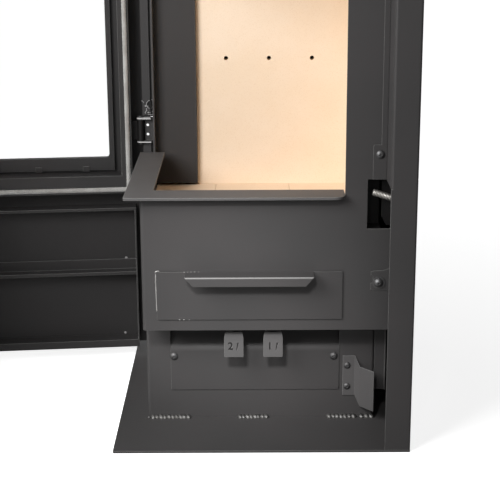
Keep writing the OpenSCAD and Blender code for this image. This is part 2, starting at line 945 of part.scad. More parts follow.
// Sheet pocket behind the latch slot, with the plate and flange that carry the latch rod
module latch_pocket() {
    t = pocket_t;
    plate_y = inner_front + 24;
    left = hook_x + hook_t + 1.5;
    notch = rod_r + pin_gap;
    color(steel_dark)
        difference() {
            union() {
                difference() {
                    block([pocket_x0, inner_front, pocket_z0], [body_x, pocket_y1, pocket_z1]);
                    block([pocket_x0 + t, inner_front - 1, pocket_z0 + t],
                        [body_x + 1, pocket_y1 - t, pocket_z1 - t]);
                }
                translate([0, plate_y, 0])
                    rotate([90, 0, 0])
                        linear_extrude(3)
                            polygon([[left, pocket_z1 - t], [left, slot_z0 + 16],
                                [left + 8, slot_z0], [front_end, slot_z0],
                                [front_end, pocket_z1 - t]]);
                on_latch_rod()
                    translate([-18, inner_front + 0.5 - rod_y, flange_l])
                        cube([36, plate_y - inner_front - 1.5, flange_t]);
            }
            on_latch_rod()
                translate([0, 0, flange_l - flange_t]) {
                    cylinder(r = notch, h = 3 * flange_t);
                    translate([-notch, -2 * notch, 0])
                        cube([2 * notch, 2 * notch, 3 * flange_t]);
                }
        }
}

// Folded strip up the rear left edge of the body between the hinges, burnt out in a
// round notch above each lower ear where it was cut free for the bracket
module rear_strip() {
    t = 3;
    y = hinge_y + 3;
    x0 = hinge_x + 3;
    step = 16;
    notch_r = 7.5;
    notch = [-body_x - 7, hinge_z[0] + 49];
    clear = hinge_h / 2 + run_gap;
    spans = [[door_z0 + 15, hinge_z[0] - clear], [hinge_z[0] + clear, hinge_z[1] - clear],
        [hinge_z[1] + clear, door_z1 - 10]];
    color(steel_light)
        difference() {
            for (s = spans)
                translate([0, 0, s[0]])
                    linear_extrude(s[1] - s[0]) {
                        translate([x0 + t, y])
                            square([step - t, t]);
                        intersection() {
                            translate([x0 + t, y + t])
                                circle(t);
                            translate([x0, y])
                                square(t);
                        }
                        translate([x0 + step - t, y + t])
                            square([t, 7]);
                        translate([x0 + step, y + 7])
                            square([-body_x - x0 - step, t]);
                    }
            bore_y(notch[0], notch[1], notch_r, y, y + 7 + t);
        }
}

// Hinge brackets on the body: a leaf with two holes between two ears
module hinge_brackets() {
    leaf_x0 = hinge_x + 8;
    leaf_y = hinge_y + 3;
    color(steel_light)
        for (z = hinge_z)
            difference() {
                union() {
                    block([leaf_x0, leaf_y, z - hinge_h / 2], [-body_x, leaf_y + 3, z + hinge_h / 2]);
                    for (e = [z - hinge_h / 2, z + hinge_h / 2 - ear_t]) {
                        block([hinge_x, hinge_y - 7, e], [-body_x - 6, leaf_y, e + ear_t]);
                        translate([hinge_x, hinge_y, e])
                            cylinder(r = 7, h = ear_t);
                    }
                }
                translate([hinge_x, hinge_y, z - hinge_h])
                    cylinder(r = hinge_pin_d / 2 + pin_gap, h = 2 * hinge_h);
                for (dz = [-9, 9])
                    bore_y(hinge_x + 13.3, z + dz, 2.6, leaf_y, leaf_y + 3);
            }
}

module hinge_pins() {
    color(bright)
        for (z = hinge_z)
            translate([hinge_x, hinge_y, 0]) {
                tube(hinge_pin_d / 2, 0, z - hinge_h / 2 - 3, z + hinge_h / 2 + 1);
                tube(hinge_pin_d / 2 + 2, 0, z + hinge_h / 2, z + hinge_h / 2 + 3);
            }
}

// Plan of the right casing from the front pillar's round corner to the fold at the back
module casing_plan(front_x0) {
    t = casing_t;
    r = casing_bend;
    translate([front_x0, front_y])
        square([base_x - r - front_x0, t]);
    bend([base_x - r, front_y + r], r, t, 3);
    translate([base_x - t, front_y + r])
        square([t, casing_back - front_y - r]);
    translate([base_x - casing_fold, casing_back - t])
        square([casing_fold - t, t]);
}

// Casing on the right; above the latch its front pillar is folded back to the body
module right_casing() {
    t = casing_t;
    r = casing_bend;
    color(steel) {
        translate([0, 0, base_t])
            linear_extrude(slot_z1 - base_t)
                casing_plan(pillar_x);
        translate([0, 0, slot_z1])
            linear_extrude(casing_h - wall_t - slot_z1) {
                casing_plan(pillar_x + r);
                bend([pillar_x + r, front_y + r], r, t, 2);
                translate([pillar_x, front_y + r])
                    square([t, body_front - front_y - r]);
            }
    }
}

// Back of the casing with its left return, convection slots and the air pipe's opening
module back_casing() {
    t = casing_t;
    slot_n = 9;
    x1 = base_x - casing_fold;
    color(steel)
        difference() {
            union() {
                block([-body_x, casing_back - t, base_t], [x1, casing_back, casing_h - wall_t]);
                block([-body_x, body_back, base_t], [-body_x + t, casing_back - t, shelf_z]);
            }
            bore_y(valve_x, pipe_z, pipe_r + run_gap, casing_back - t, casing_back);
            for (z = [body_z + 90, casing_h - 160])
                for (i = [0 : slot_n - 1])
                    block([-110 + i * 30, casing_back - t - 1, z],
                        [-102 + i * 30, casing_back + 1, z + 80]);
        }
}

// Fixed casing over the door, round the storage chamber, with the shelf that carries it
module upper_casing() {
    t = casing_t;
    color(steel) {
        corner_wall([skin_x, skin_y], [skin_x + t, skin_y + t], casing_back, pillar_x,
            shelf_z + t, casing_h - wall_t);
        difference() {
            block([skin_x, skin_y, shelf_z], [pillar_x, casing_back - t, shelf_z + t]);
            translate([0, flue_y, shelf_z - 1])
                cylinder(r = flue_flange_r + run_gap, h = t + 2);
        }
        block([skin_x + t, casing_back - t, shelf_z], [-body_x, casing_back,
            casing_h - wall_t]);
    }
}

// Top plate with the flue hole and rows of warm air slots
module top_cover() {
    slot_n = 12;
    slot_pitch = 30;
    slot_l = 70;
    color(steel)
        difference() {
            translate([0, 0, casing_h - wall_t])
                linear_extrude(wall_t)
                    round_rect([-base_x, front_y], [base_x, casing_back], 2);
            translate([0, flue_y, casing_h - wall_t - 1])
                cylinder(r = flue_r + 1, h = wall_t + 2);
            for (y = [front_y + 45, casing_back - 45 - slot_l])
                for (i = [0 : slot_n - 1])
                    block([(i - (slot_n - 1) / 2) * slot_pitch - 4, y, casing_h - wall_t - 1],
                        [(i - (slot_n - 1) / 2) * slot_pitch + 4, y + slot_l, casing_h + 1]);
        }
}

// Stacked storage blocks, two to a layer, bored for the flue pipe
module heat_storage_blocks() {
    y0 = body_front + 26;
    y1 = body_back - 8;
    joint = run_gap;
    color([0.55, 0.53, 0.50])
        for (i = [0 : storage_layers - 1])
            for (x = [[-block_x, -joint / 2], [joint / 2, block_x]])
                difference() {
                    block([x[0], y0, block_z0 + i * block_h],
                        [x[1], y1, block_z0 + (i + 1) * block_h - joint]);
                    translate([0, flue_y, block_z0 - 1])
                        cylinder(r = flue_flange_r + 2, h = casing_h - block_z0);
                }
}

module flue_pipe() {
    color(steel_dark)
        translate([0, flue_y, 0]) {
            tube(flue_r, flue_r - flue_wall, body_top, casing_h);
            tube(flue_flange_r, flue_r - flue_wall, body_top, body_top + 3);
        }
}

module flue_collar() {
    color(steel)
        translate([0, flue_y, 0]) {
            tube(flue_r + 18, flue_r - flue_wall, casing_h, casing_h + 3);
            tube(flue_r, flue_r - flue_wall, casing_h + 3, casing_h + 3 + flue_l);
        }
}

// Two angles that the ash drawer's tray runs on
module drawer_runners() {
    t = 2;
    y0 = inner_front;
    y1 = tray_y1 + 20;
    z0 = body_z + sheet_t;
    color(steel_dark)
        for (m = [[tray_x0 - 3, tray_x0 - 3 + t, tray_x0 + 16],
            [tray_x1 + 3 - t, tray_x1 + 3, tray_x1 - 16]]) {
            block([m[0], y0, z0], [m[1], y1, hole_z0 - t]);
            block([min(m[0], m[2]), y0, hole_z0 - t], [max(m[1], m[2]), y1, hole_z0]);
        }
}

module drawer_front() {
    y1 = body_front - run_gap;
    color(steel_light)
        translate([0, y1, 0])
            rotate([90, 0, 0])
                linear_extrude(drawer_t)
                    round_rect([drawer_x0, drawer_z0], [drawer_x1, drawer_z1], 1.5);
}

module drawer_tray() {
    y0 = body_front - run_gap;
    color(steel_dark)
        difference() {
            block([tray_x0, y0, tray_z0], [tray_x1, tray_y1, tray_z1]);
            block([tray_x0 + tray_t, y0 + tray_t, tray_z0 + tray_t],
                [tray_x1 - tray_t, tray_y1 - tray_t, tray_z1 + 1]);
        }
}

// Folded handle along the drawer's upper edge, its lip cut off slantwise at both ends
module drawer_handle() {
    y0 = body_front - run_gap - drawer_t;
    y1 = y0 - pull_d - pull_t;
    r = pull_bend;
    color(steel_light)
        difference() {
            translate([pull_x - pull_w / 2, 0, 0])
                rotate([90, 0, 90])
                    linear_extrude(pull_w) {
                        translate([y1 + r, drawer_z1 - pull_t])
                            square([y0 - y1 - r, pull_t]);
                        translate([y1, drawer_z1 - pull_lip])
                            square([pull_t, pull_lip - r]);
                        bend([y1 + r, drawer_z1 - r], r, pull_t, 1);
                    }
            for (side = [-1, 1])
                translate([pull_x, y1 + r, 0])
                    rotate([90, 0, 0])
                        linear_extrude(r + 1)
                            polygon([[side * pull_w / 2, drawer_z1],
                                [side * (pull_w / 2 - pull_cut), drawer_z1 - pull_lip],
                                [side * (pull_w / 2 - pull_cut), drawer_z1 - pull_lip - 1],
                                [side * (pull_w / 2 + 1), drawer_z1 - pull_lip - 1],
                                [side * (pull_w / 2 + 1), drawer_z1]]);
        }
}

// Front leaf of the door: outer sheet, window opening, folded right end
module door_front_skin() {
    fold = 36;
    color(steel)
        on_open_door()
            difference() {
                union() {
                    block([skin_x, skin_y, door_z0], [door_end, skin_y + skin_t, door_z1]);
                    block([door_end - skin_t, skin_y + skin_t, door_z0],
                        [door_end, skin_y + fold, door_z1]);
                    block([hook_x - ear_l, skin_y + skin_t, pivot_z - 25],
                        [hook_x - 1, skin_y + fold, pivot_z + 25]);
                }
                block([skin_x + post_w, skin_y - 1, window_z0],
                    [window_end, skin_y + skin_t + 1, window_z1]);
                block([hook_x - 1, skin_y - 1, pivot_z - 25],
                    [hook_x + hook_t + 0.5, skin_y + skin_t + 1, pivot_z + 25]);
                translate([hook_x - ear_l - 1, pivot_y, pivot_z])
                    rotate([0, 90, 0])
                        cylinder(r = pivot_r + pin_gap, h = door_end - hook_x + ear_l + 2);
            }
}

// Side leaf of the door: outer sheet, window opening, folded rear end
module door_side_skin() {
    fold = 7;
    color(steel)
        on_open_door()
            difference() {
                union() {
                    block([skin_x, skin_y + skin_t, door_z0], [skin_x + skin_t, door_rear,
                        door_z1]);
                    block([skin_x + skin_t, door_rear - skin_t, door_z0],
                        [skin_x + fold, door_rear, door_z1]);
                }
                block([skin_x - 1, skin_y + post_w, window_z0],
                    [skin_x + skin_t + 1, window_rear, window_z1]);
            }
}

// Steel channel frame that holds the sealing rope, round both leaves of the door
module seal_frame() {
    ox = skin_x + skin_t;
    oy = skin_y + skin_t;
    fx = -body_x - seal_gap;
    fy = body_front - seal_gap;
    bx = -body_x - seal_back;
    by = body_front - seal_back;
    t = seal_t;
    groove0 = seal_z0 + t;
    groove1 = groove0 + groove_w;
    top1 = seal_z1 - t;
    top0 = top1 - groove_w;
    color(steel_light)
        on_open_door() {
            // lower rail
            corner_wall([ox, oy], [fx, fy], seal_rear, seal_end, seal_z0, groove0);
            corner_wall([bx - t, by - t], [bx, by], seal_rear - t, seal_end - t, groove0, groove1);
            corner_wall([bx - t, by - t], [fx, fy], seal_rear_in, seal_end_in, groove1,
                groove1 + t);
            corner_wall([fx - t, fy - t], [fx, fy], seal_rear_in, seal_end_in, groove1 + t,
                seal_z0_in - t);
            corner_wall([ox, oy], [fx, fy], seal_rear_in, seal_end_in, seal_z0_in - t,
                seal_z0_in);
            // upper rail
            corner_wall([ox, oy], [fx, fy], seal_rear, seal_end, top1, seal_z1);
            corner_wall([bx - t, by - t], [bx, by], seal_rear - t, seal_end - t, top0, top1);
            corner_wall([bx - t, by - t], [fx, fy], seal_rear_in, seal_end_in, top0 - t, top0);
            corner_wall([fx - t, fy - t], [fx, fy], seal_rear_in, seal_end_in, seal_z1_in + t,
                top0 - t);
            corner_wall([ox, oy], [fx, fy], seal_rear_in, seal_end_in, seal_z1_in,
                seal_z1_in + t);
            // rear stile on the side leaf
            block([ox, seal_rear - t, groove0], [fx, seal_rear, top1]);
            block([bx - t, seal_rear - t - groove_w, groove1], [bx, seal_rear - t, top0]);
            block([bx - t, seal_rear - 2 * t - groove_w, groove1],
                [fx, seal_rear - t - groove_w, top0]);
            block([fx - t, seal_rear_in, groove1], [fx, seal_rear - 2 * t - groove_w, top0]);
            block([ox, seal_rear_in, groove1], [fx - t, seal_rear_in + t, top0]);
            // right stile on the front leaf
            block([seal_end - t, oy, groove0], [seal_end, fy, top1]);
            block([seal_end - t - groove_w, by - t, groove1], [seal_end - t, by, top0]);
            block([seal_end - 2 * t - groove_w, by - t, groove1],
                [seal_end - t - groove_w, fy, top0]);
            block([seal_end_in, fy - t, groove1], [seal_end - 2 * t - groove_w, fy, top0]);
            block([seal_end_in, oy, groove1], [seal_end_in + t, fy - t, top0]);
        }
}

// A quarter bend of the rope, in the XY plane, from +X to +Y round the origin
module rope_bend(r) {
    rotate_extrude(angle = 90)
        translate([r, 0])
            circle(rope_d / 2);
}

module rope_run(a, axis, l) {
    translate(a)
        rotate(axis)
            cylinder(r = rope_d / 2, h = l);
}

// The sealing rope, one closed loop along its groove
module door_rope() {
    r = 6.5;
    x = -body_x - rope_off;
    y = body_front - rope_off;
    rear = seal_rear - seal_t - groove_w / 2;
    end = seal_end - seal_t - groove_w / 2;
    z0 = seal_z0 + seal_t + groove_w / 2;
    z1 = seal_z1 - seal_t - groove_w / 2;
    to_y = [-90, 0, 0];
    to_x = [0, 90, 0];
    color([0.72, 0.72, 0.71])
        on_open_door() {
            for (z = [z0, z1]) {
                rope_run([x, y + r, z], to_y, rear - y - 2 * r);
                rope_run([x + r, y, z], to_x, end - x - 2 * r);
                translate([x + r, y + r, z])
                    rotate([0, 0, 180])
                        rope_bend(r);
            }
            rope_run([x, rear, z0 + r], [0, 0, 0], z1 - z0 - 2 * r);
            rope_run([end, y, z0 + r], [0, 0, 0], z1 - z0 - 2 * r);
            translate([x, rear - r, z0 + r])
                rotate([0, 90, 0])
                    rope_bend(r);
            translate([x, rear - r, z1 - r])
                rotate([90, 0, 90])
                    rope_bend(r);
            translate([end - r, y, z0 + r])
                rotate([-90, 0, 0])
                    rope_bend(r);
            translate([end - r, y, z1 - r])
                rotate([90, 0, 0])
                    rope_bend(r);
        }
}

module front_glass() {
    color([0.75, 0.80, 0.80, 0.3])
        on_open_door()
            block([skin_x + post_w - glass_lap, pane_y0, window_z0 - glass_lap],
                [window_end + glass_lap, pane_y1, window_z1 + glass_lap]);
}

module side_glass() {
    color([0.75, 0.80, 0.80, 0.3])
        on_open_door()
            block([pane_x0, skin_y + post_w - glass_lap, window_z0 - glass_lap],
                [pane_x1, window_rear + glass_lap, window_z1 + glass_lap]);
}

// A flat frame from its round-cornered inner opening to its outer edge
module window_frame(in0, in1, out0, out1) {
    difference() {
        translate(out0)
            square([out1[0] - out0[0], out1[1] - out0[1]]);
        round_rect(in0, in1, window_round);
    }
}

// Such a frame in the plane of the side glass
module side_frame(x0, x1, in0, in1, out0, out1) {
    translate([x0, 0, 0])
        rotate([90, 0, 90])
            linear_extrude(x1 - x0)
                window_frame(in0, in1, out0, out1);
}

// The same in the plane of the front glass
module front_frame(y0, y1, in0, in1, out0, out1) {
    translate([0, y1, 0])
        rotate([90, 0, 0])
            linear_extrude(y1 - y0)
                window_frame(in0, in1, out0, out1);
}

module glass_gaskets() {
    w = glass_lap - 1;
    color(steel_dark)
        on_open_door() {
            side_frame(skin_x + skin_t, pane_x0, [skin_y + post_w, window_z0],
                [window_rear, window_z1], [skin_y + post_w - w, window_z0 - w],
                [window_rear + w, window_z1 + w]);
            front_frame(skin_y + skin_t, pane_y0, [skin_x + post_w, window_z0],
                [window_end, window_z1], [skin_x + post_w - w, window_z0 - w],
                [window_end + w, window_z1 + w]);
        }
}

// Flat frames that press the panes against their gaskets
module glass_retainers() {
    w = retainer_w;
    color(steel_light)
        on_open_door() {
            side_frame(pane_x1, pane_x1 + retainer_t, [skin_y + post_w, window_z0],
                [window_rear, window_z1], [skin_y + post_w - w, window_z0 - retainer_low],
                [window_rear + w, window_z1 + w]);
            front_frame(pane_y1, pane_y1 + retainer_t, [skin_x + post_w, window_z0],
                [window_end, window_z1], [skin_x + post_w - w, window_z0 - retainer_low],
                [window_end + w, window_z1 + w]);
        }
}

// Stepped clips under and over the retainers, screwed down to the door sheet
module glass_clips() {
    t = 2;
    w = 12;
    run_y = window_rear - (skin_y + post_w);
    run_x = window_end - (skin_x + post_w);
    color(steel_light)
        on_open_door() {
            for (i = [0 : 3]) {
                y = skin_y + post_w + (i + 0.5) * run_y / 4 - w / 2;
                block([skin_x + skin_t, y, window_z0 - retainer_low - t - 0.3],
                    [pane_x1 + retainer_t + t, y + w, window_z0 - retainer_low - 0.3]);
                block([pane_x1 + retainer_t, y, window_z0 - retainer_low - 0.3],
                    [pane_x1 + retainer_t + t, y + w, window_z0 - retainer_low + 8]);
            }
            for (i = [0 : 3]) {
                x = skin_x + post_w + (i + 0.5) * run_x / 4 - w / 2;
                block([x, skin_y + skin_t, window_z0 - retainer_low - t - 0.3],
                    [x + w, pane_y1 + retainer_t + t, window_z0 - retainer_low - 0.3]);
                block([x, pane_y1 + retainer_t, window_z0 - retainer_low - 0.3],
                    [x + w, pane_y1 + retainer_t + t, window_z0 - retainer_low + 8]);
            }
        }
}

// Shelves and an end plate that stiffen the lower part of the door
module door_lower_frame() {
    ox = skin_x + skin_t;
    oy = skin_y + skin_t;
    t = frame_t;
    rear = hinge_y - 14;
    end = door_end - skin_t;
    foot_z = door_z0 + 15;
    color(steel)
        on_open_door() {
            corner_wall([ox, oy], [stiff_x, stiff_y], rear, end, lower_z1 - t, lower_z1);
            corner_wall([stiff_x - t, stiff_y - t], [stiff_x, stiff_y], rear, end,
                lower_z1 - 2 * t, lower_z1 - t);
            corner_wall([ox, oy], [stiff_x, stiff_y], rear, end, foot_z - t, foot_z);
            corner_wall([stiff_x - t, stiff_y - t], [stiff_x, stiff_y], rear, end, door_z0,
                foot_z - t);
            block([ox, rear - t, foot_z], [stiff_x, rear, lower_z1 - t]);
        }
}

// Angle bar across the lower part of the door, its free leg with a small lip
module door_cross_bar() {
    ox = skin_x + skin_t;
    oy = skin_y + skin_t;
    t = frame_t;
    rear = hinge_y - 14 - t;
    end = door_end - skin_t;
    bar_z = body_z - 12;
    color(steel_light)
        on_open_door() {
            corner_wall([ox, oy], [ox + t, oy + t], rear, end, bar_z, bar_z + 20);
            corner_wall([ox, oy], [stiff_x, stiff_y], rear, end, bar_z - t, bar_z);
            corner_wall([stiff_x - t, stiff_y - t], [stiff_x, stiff_y], rear, end,
                bar_z - t - 1, bar_z + t);
        }
}

// Hinge knuckles with the arms that join them to the door's seal frame
module hinge_knuckles() {
    h = hinge_h / 2 - ear_t - run_gap;
    color(steel_dark)
        on_open_door()
            for (z = hinge_z)
                difference() {
                    union() {
                        translate([hinge_x, hinge_y, z - h])
                            cylinder(r = knuckle_r, h = 2 * h);
                        block([hinge_x - 3, seal_rear, z - h + 2],
                            [hinge_x + 2, hinge_y - 3, z + h - 2]);
                    }
                    translate([hinge_x, hinge_y, z - hinge_h])
                        cylinder(r = hinge_pin_d / 2 + pin_gap, h = 2 * hinge_h);
                }
}

// Hook plate that turns on its pin in the door's folded end and catches the latch rod
module latch_hook() {
    under = rod_z - rod_r / cos(rod_tilt) - hook_t / 2 * tan(rod_tilt) - 0.5;
    color(bright)
        on_open_door()
            on_lifted_latch() {
                translate([hook_x, 0, 0])
                    rotate([90, 0, 90])
                        linear_extrude(hook_t)
                            polygon([[grip_y, pivot_z + 5], [grip_y, pivot_z - 7],
                                [pivot_y, pivot_z - 9], [hook_tip_y1 - 4, under - 9],
                                [hook_tip_y1, under - 5], [hook_tip_y1, rod_z + 3],
                                [hook_tip_y0, rod_z + 1], [hook_tip_y0, under],
                                [pivot_y + 12, under], [pivot_y + 6, pivot_z + 9],
                                [pivot_y - 6, pivot_z + 9]]);
                translate([hook_x - ear_l, pivot_y, pivot_z])
                    rotate([0, 90, 0])
                        cylinder(r = pivot_r, h = door_end - hook_x + ear_l);
            }
}

module handle_grip() {
    color(bright)
        on_open_door()
            on_lifted_latch()
                difference() {
                    translate([hook_x + hook_t / 2, grip_y, pivot_z - grip_l + 16])
                        cylinder(r = grip_r, h = grip_l);
                    block([hook_x - 0.02, grip_y - 0.02, pivot_z - 12],
                        [hook_x + hook_t + 0.02, grip_y + grip_r + 1, pivot_z + 10]);
                }
}

base_plate();
pedestal();
pedestal_welds();
air_box_cover();
air_cover_screws();
guide_bracket();
guide_screws();
gap_plate();
body_shell();
body_inner_walls();
body_floor_plate();
body_top_plate();
hearth_sill();
firebox_floor_plate();
floor_bricks();
grate();
back_lining();
right_lining();
front_lining();
baffle_bricks();
baffle_plate();
riser_duct();
air_channel();
air_valve_box();
lever_guides();
primary_air_lever();
secondary_air_lever();
latch_cover();
latch_stop();
latch_screws();
latch_rod();
latch_pocket();
rear_strip();
hinge_brackets();
hinge_pins();
right_casing();
back_casing();
upper_casing();
top_cover();
heat_storage_blocks();
flue_pipe();
flue_collar();
drawer_runners();
drawer_front();
drawer_tray();
drawer_handle();
door_front_skin();
door_side_skin();
seal_frame();
door_rope();
front_glass();
side_glass();
glass_gaskets();
glass_retainers();
glass_clips();
door_lower_frame();
door_cross_bar();
hinge_knuckles();
latch_hook();
handle_grip();
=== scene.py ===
# %% [markdown]
# # A tower wood stove with its corner door standing open
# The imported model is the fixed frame: every sheet, brick, screw and hinge is already there at its real
# size. This lesson gives each of them its finish, and makes what the solids leave plain: the plait of
# the sealing rope, the ripples of the weld beads, the thread of the latch rod, the marks on the air
# levers, and the wear of a stove that has been used.

# %% Load the frame
import json
import random
from math import cos, pi, radians, sin, tau

import bmesh
import bpy
from mathutils import Matrix, Vector, noise


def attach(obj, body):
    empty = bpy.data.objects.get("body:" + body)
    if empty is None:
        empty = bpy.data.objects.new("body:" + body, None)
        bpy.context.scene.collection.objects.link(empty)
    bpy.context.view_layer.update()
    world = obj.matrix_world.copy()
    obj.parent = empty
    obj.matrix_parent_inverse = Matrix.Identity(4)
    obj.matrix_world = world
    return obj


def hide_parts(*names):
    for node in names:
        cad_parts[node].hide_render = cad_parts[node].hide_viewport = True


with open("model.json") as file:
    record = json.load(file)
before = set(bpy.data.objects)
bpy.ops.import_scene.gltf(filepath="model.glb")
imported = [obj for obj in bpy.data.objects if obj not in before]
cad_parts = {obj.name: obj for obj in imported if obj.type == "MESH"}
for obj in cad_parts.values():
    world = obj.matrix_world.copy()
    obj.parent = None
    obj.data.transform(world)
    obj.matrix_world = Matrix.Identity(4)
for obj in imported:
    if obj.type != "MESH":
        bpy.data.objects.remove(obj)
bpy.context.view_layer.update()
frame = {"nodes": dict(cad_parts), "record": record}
nodes = frame["nodes"]
mm = 0.001

# %% [markdown]
# ## Camera
# The photograph looks at the stove's front from about 2 m away and a little above, tilted down by 16
# degrees. A camera could be placed by eye, but its distance, height and lens follow from how the
# stove's own straight edges run together, so they were worked out from those.

# %% Camera
camera_place = Vector((-0.0177, -2.3024, 0.9347))
camera_tilt = radians(16.0)
camera_roll = radians(-0.25)
sensor_width, lens = 36, 94.3
camera_data = bpy.data.cameras.new("camera")
camera_data.sensor_width = sensor_width
camera_data.lens = lens
camera_data.clip_end = 100
camera = bpy.data.objects.new("camera", camera_data)
bpy.context.scene.collection.objects.link(camera)
camera.location = camera_place
camera_turn = Matrix.Rotation(pi / 2 - camera_tilt, 3, "X") @ Matrix.Rotation(camera_roll, 3, "Z")
camera.rotation_euler = camera_turn.to_euler()
bpy.context.scene.camera = camera
print("camera at", tuple(round(c, 3) for c in camera_place), "lens", lens, "mm")

# %% [markdown]
# ## Helpers for node trees
# A node tree in code soon fills with lines that only add a node and join it up. One small function does
# that here, for shader and geometry trees alike, so the lines that are left say what the tree does.

# %% Node helpers
FLOAT = "NodeSocketFloat"
COLOR = "NodeSocketColor"
VECTOR = "NodeSocketVector"


def put(tree, kind, inputs=None, **settings):
    """Add a node of a kind, with its settings, and set or link its inputs."""
    node = tree.nodes.new(kind)
    for name, value in settings.items():
        setattr(node, name, value)
    for key, value in (inputs or {}).items():
        if isinstance(value, bpy.types.NodeSocket):
            tree.links.new(value, node.inputs[key])
        else:
            node.inputs[key].default_value = value
    return node


def step(tree, operation, a, b=0.0, clamp=False):
    """One arithmetic step on two numbers or sockets."""
    return put(tree, "ShaderNodeMath", {0: a, 1: b}, operation=operation, use_clamp=clamp).outputs[0]


def blend_color(tree, share, a, b):
    """Mix two colours by a share."""
    return put(tree, "ShaderNodeMix", {0: share, 6: a, 7: b}, data_type="RGBA").outputs[2]


def remap(tree, value, low, high, new_low=0.0, new_high=1.0):
    """Stretch a range of a value to another range, and keep it inside."""
    sockets = {"Value": value, "From Min": low, "From Max": high, "To Min": new_low, "To Max": new_high}
    return put(tree, "ShaderNodeMapRange", sockets).outputs["Result"]


def new_group(name, inputs, outputs):
    """A shader node group with named inputs and outputs, and the sockets at its two ends."""
    group = bpy.data.node_groups.new(name, "ShaderNodeTree")
    for label, kind, value in inputs:
        group.interface.new_socket(label, in_out="INPUT", socket_type=kind).default_value = value
    for label, kind in outputs:
        group.interface.new_socket(label, in_out="OUTPUT", socket_type=kind)
    return group, group.nodes.new("NodeGroupInput").outputs, group.nodes.new("NodeGroupOutput").inputs


def use(tree, group, **values):
    """Place a group in a material's tree, set or link its inputs, and return its outputs."""
    node = put(tree, "ShaderNodeGroup", node_tree=group)
    for label, value in values.items():
        socket = node.inputs[label]
        if isinstance(value, bpy.types.NodeSocket):
            tree.links.new(value, socket)
        else:
            socket.default_value = value
    return node.outputs


def add_bump(tree, height, strength, distance, normal=None):
    """A fine relief from a height, on top of another normal if one is given."""
    inputs = {"Height": height, "Strength": strength, "Distance": distance}
    if normal is not None:
        inputs["Normal"] = normal
    return put(tree, "ShaderNodeBump", inputs).outputs["Normal"]


def rgb(red, green, blue):
    """A colour written as the 0 to 255 numbers of a picture, turned to linear light."""
    def linear(level):
        share = level / 255
        return share / 12.92 if share <= 0.04045 else ((share + 0.055) / 1.055) ** 2.4
    return (linear(red), linear(green), linear(blue), 1.0)


# %% [markdown]
# ## Shared effects
# Sprayed sheet steel shows three things everywhere: a soft mottle where the coat is thinner, a very
# fine grain, and edges that catch the light because a sheet's corner is slightly round; on the paint a
# lighter colour along the edges adds a painted highlight. Boards share all three and fibres the first
# two. Each effect is a group, built once and placed in each material with its own values, so a change
# to it reaches every finish.

# %% Mottle
mottle, g_in, g_out = new_group(
    "mottle",
    [("Color", COLOR, (0.1, 0.1, 0.1, 1)), ("Tint", COLOR, (0.1, 0.1, 0.1, 1)), ("Scale", FLOAT, 4.0),
     ("Amount", FLOAT, 0.3)],
    [("Color", COLOR), ("Cloud", FLOAT)])
here = put(mottle, "ShaderNodeTexCoord").outputs["Object"]
clouds = put(mottle, "ShaderNodeTexNoise",
             {"Vector": here, "Scale": g_in["Scale"], "Detail": 5.0, "Roughness": 0.55}).outputs["Fac"]
cloud = remap(mottle, clouds, 0.35, 0.65)
share = step(mottle, "MULTIPLY", cloud, g_in["Amount"])
mottle.links.new(blend_color(mottle, share, g_in["Color"], g_in["Tint"]), g_out["Color"])
mottle.links.new(cloud, g_out["Cloud"])
print("mottle:", len(mottle.nodes), "nodes")

# %% Grain
coarse_to_fine = 0.12
grain, g_in, g_out = new_group(
    "grain", [("Scale", FLOAT, 900.0), ("Coarse", FLOAT, 0.3)], [("Height", FLOAT)])
here = put(grain, "ShaderNodeTexCoord").outputs["Object"]
fine = put(grain, "ShaderNodeTexNoise",
           {"Vector": here, "Scale": g_in["Scale"], "Detail": 3.0, "Roughness": 0.6}).outputs["Fac"]
wide_scale = step(grain, "MULTIPLY", g_in["Scale"], coarse_to_fine)
wide = put(grain, "ShaderNodeTexNoise",
           {"Vector": here, "Scale": wide_scale, "Detail": 2.0, "Roughness": 0.5}).outputs["Fac"]
coarse = step(grain, "MULTIPLY", wide, g_in["Coarse"])
grain.links.new(step(grain, "ADD", fine, coarse), g_out["Height"])
print("grain:", len(grain.nodes), "nodes")

# %% [markdown]
# Edge wear could be painted on by hand, but that has to be done again when a size changes. This group
# compares the true surface with the same surface rounded by the Bevel node. Where they differ there is
# an edge, so the mask follows real corners at any size, and the rounded normal makes them glint. The
# paints also lay a lighter colour along the mask, a painted highlight. Noise breaks the edge into small
# chips.

# %% Edges
edge, g_in, g_out = new_group(
    "edge", [("Radius", FLOAT, 0.0012), ("Scale", FLOAT, 60.0), ("Breaks", FLOAT, 0.5)],
    [("Mask", FLOAT), ("Chips", FLOAT), ("Normal", VECTOR)])
rounded = put(edge, "ShaderNodeBevel", {"Radius": g_in["Radius"]}, samples=6).outputs["Normal"]
as_built = put(edge, "ShaderNodeNewGeometry").outputs["Normal"]
alike = put(edge, "ShaderNodeVectorMath", {0: rounded, 1: as_built}, operation="DOT_PRODUCT")
corner = remap(edge, alike.outputs["Value"], 0.995, 0.86)
here = put(edge, "ShaderNodeTexCoord").outputs["Object"]
patchy = put(edge, "ShaderNodeTexNoise",
             {"Vector": here, "Scale": g_in["Scale"], "Detail": 6.0, "Roughness": 0.7}).outputs["Fac"]
worn = remap(edge, patchy, 0.5, 0.62)
chips = step(edge, "MULTIPLY", corner, step(edge, "MULTIPLY", worn, g_in["Breaks"]), clamp=True)
edge.links.new(corner, g_out["Mask"])
edge.links.new(chips, g_out["Chips"])
edge.links.new(rounded, g_out["Normal"])
print("groups:", [g.name for g in bpy.data.node_groups])
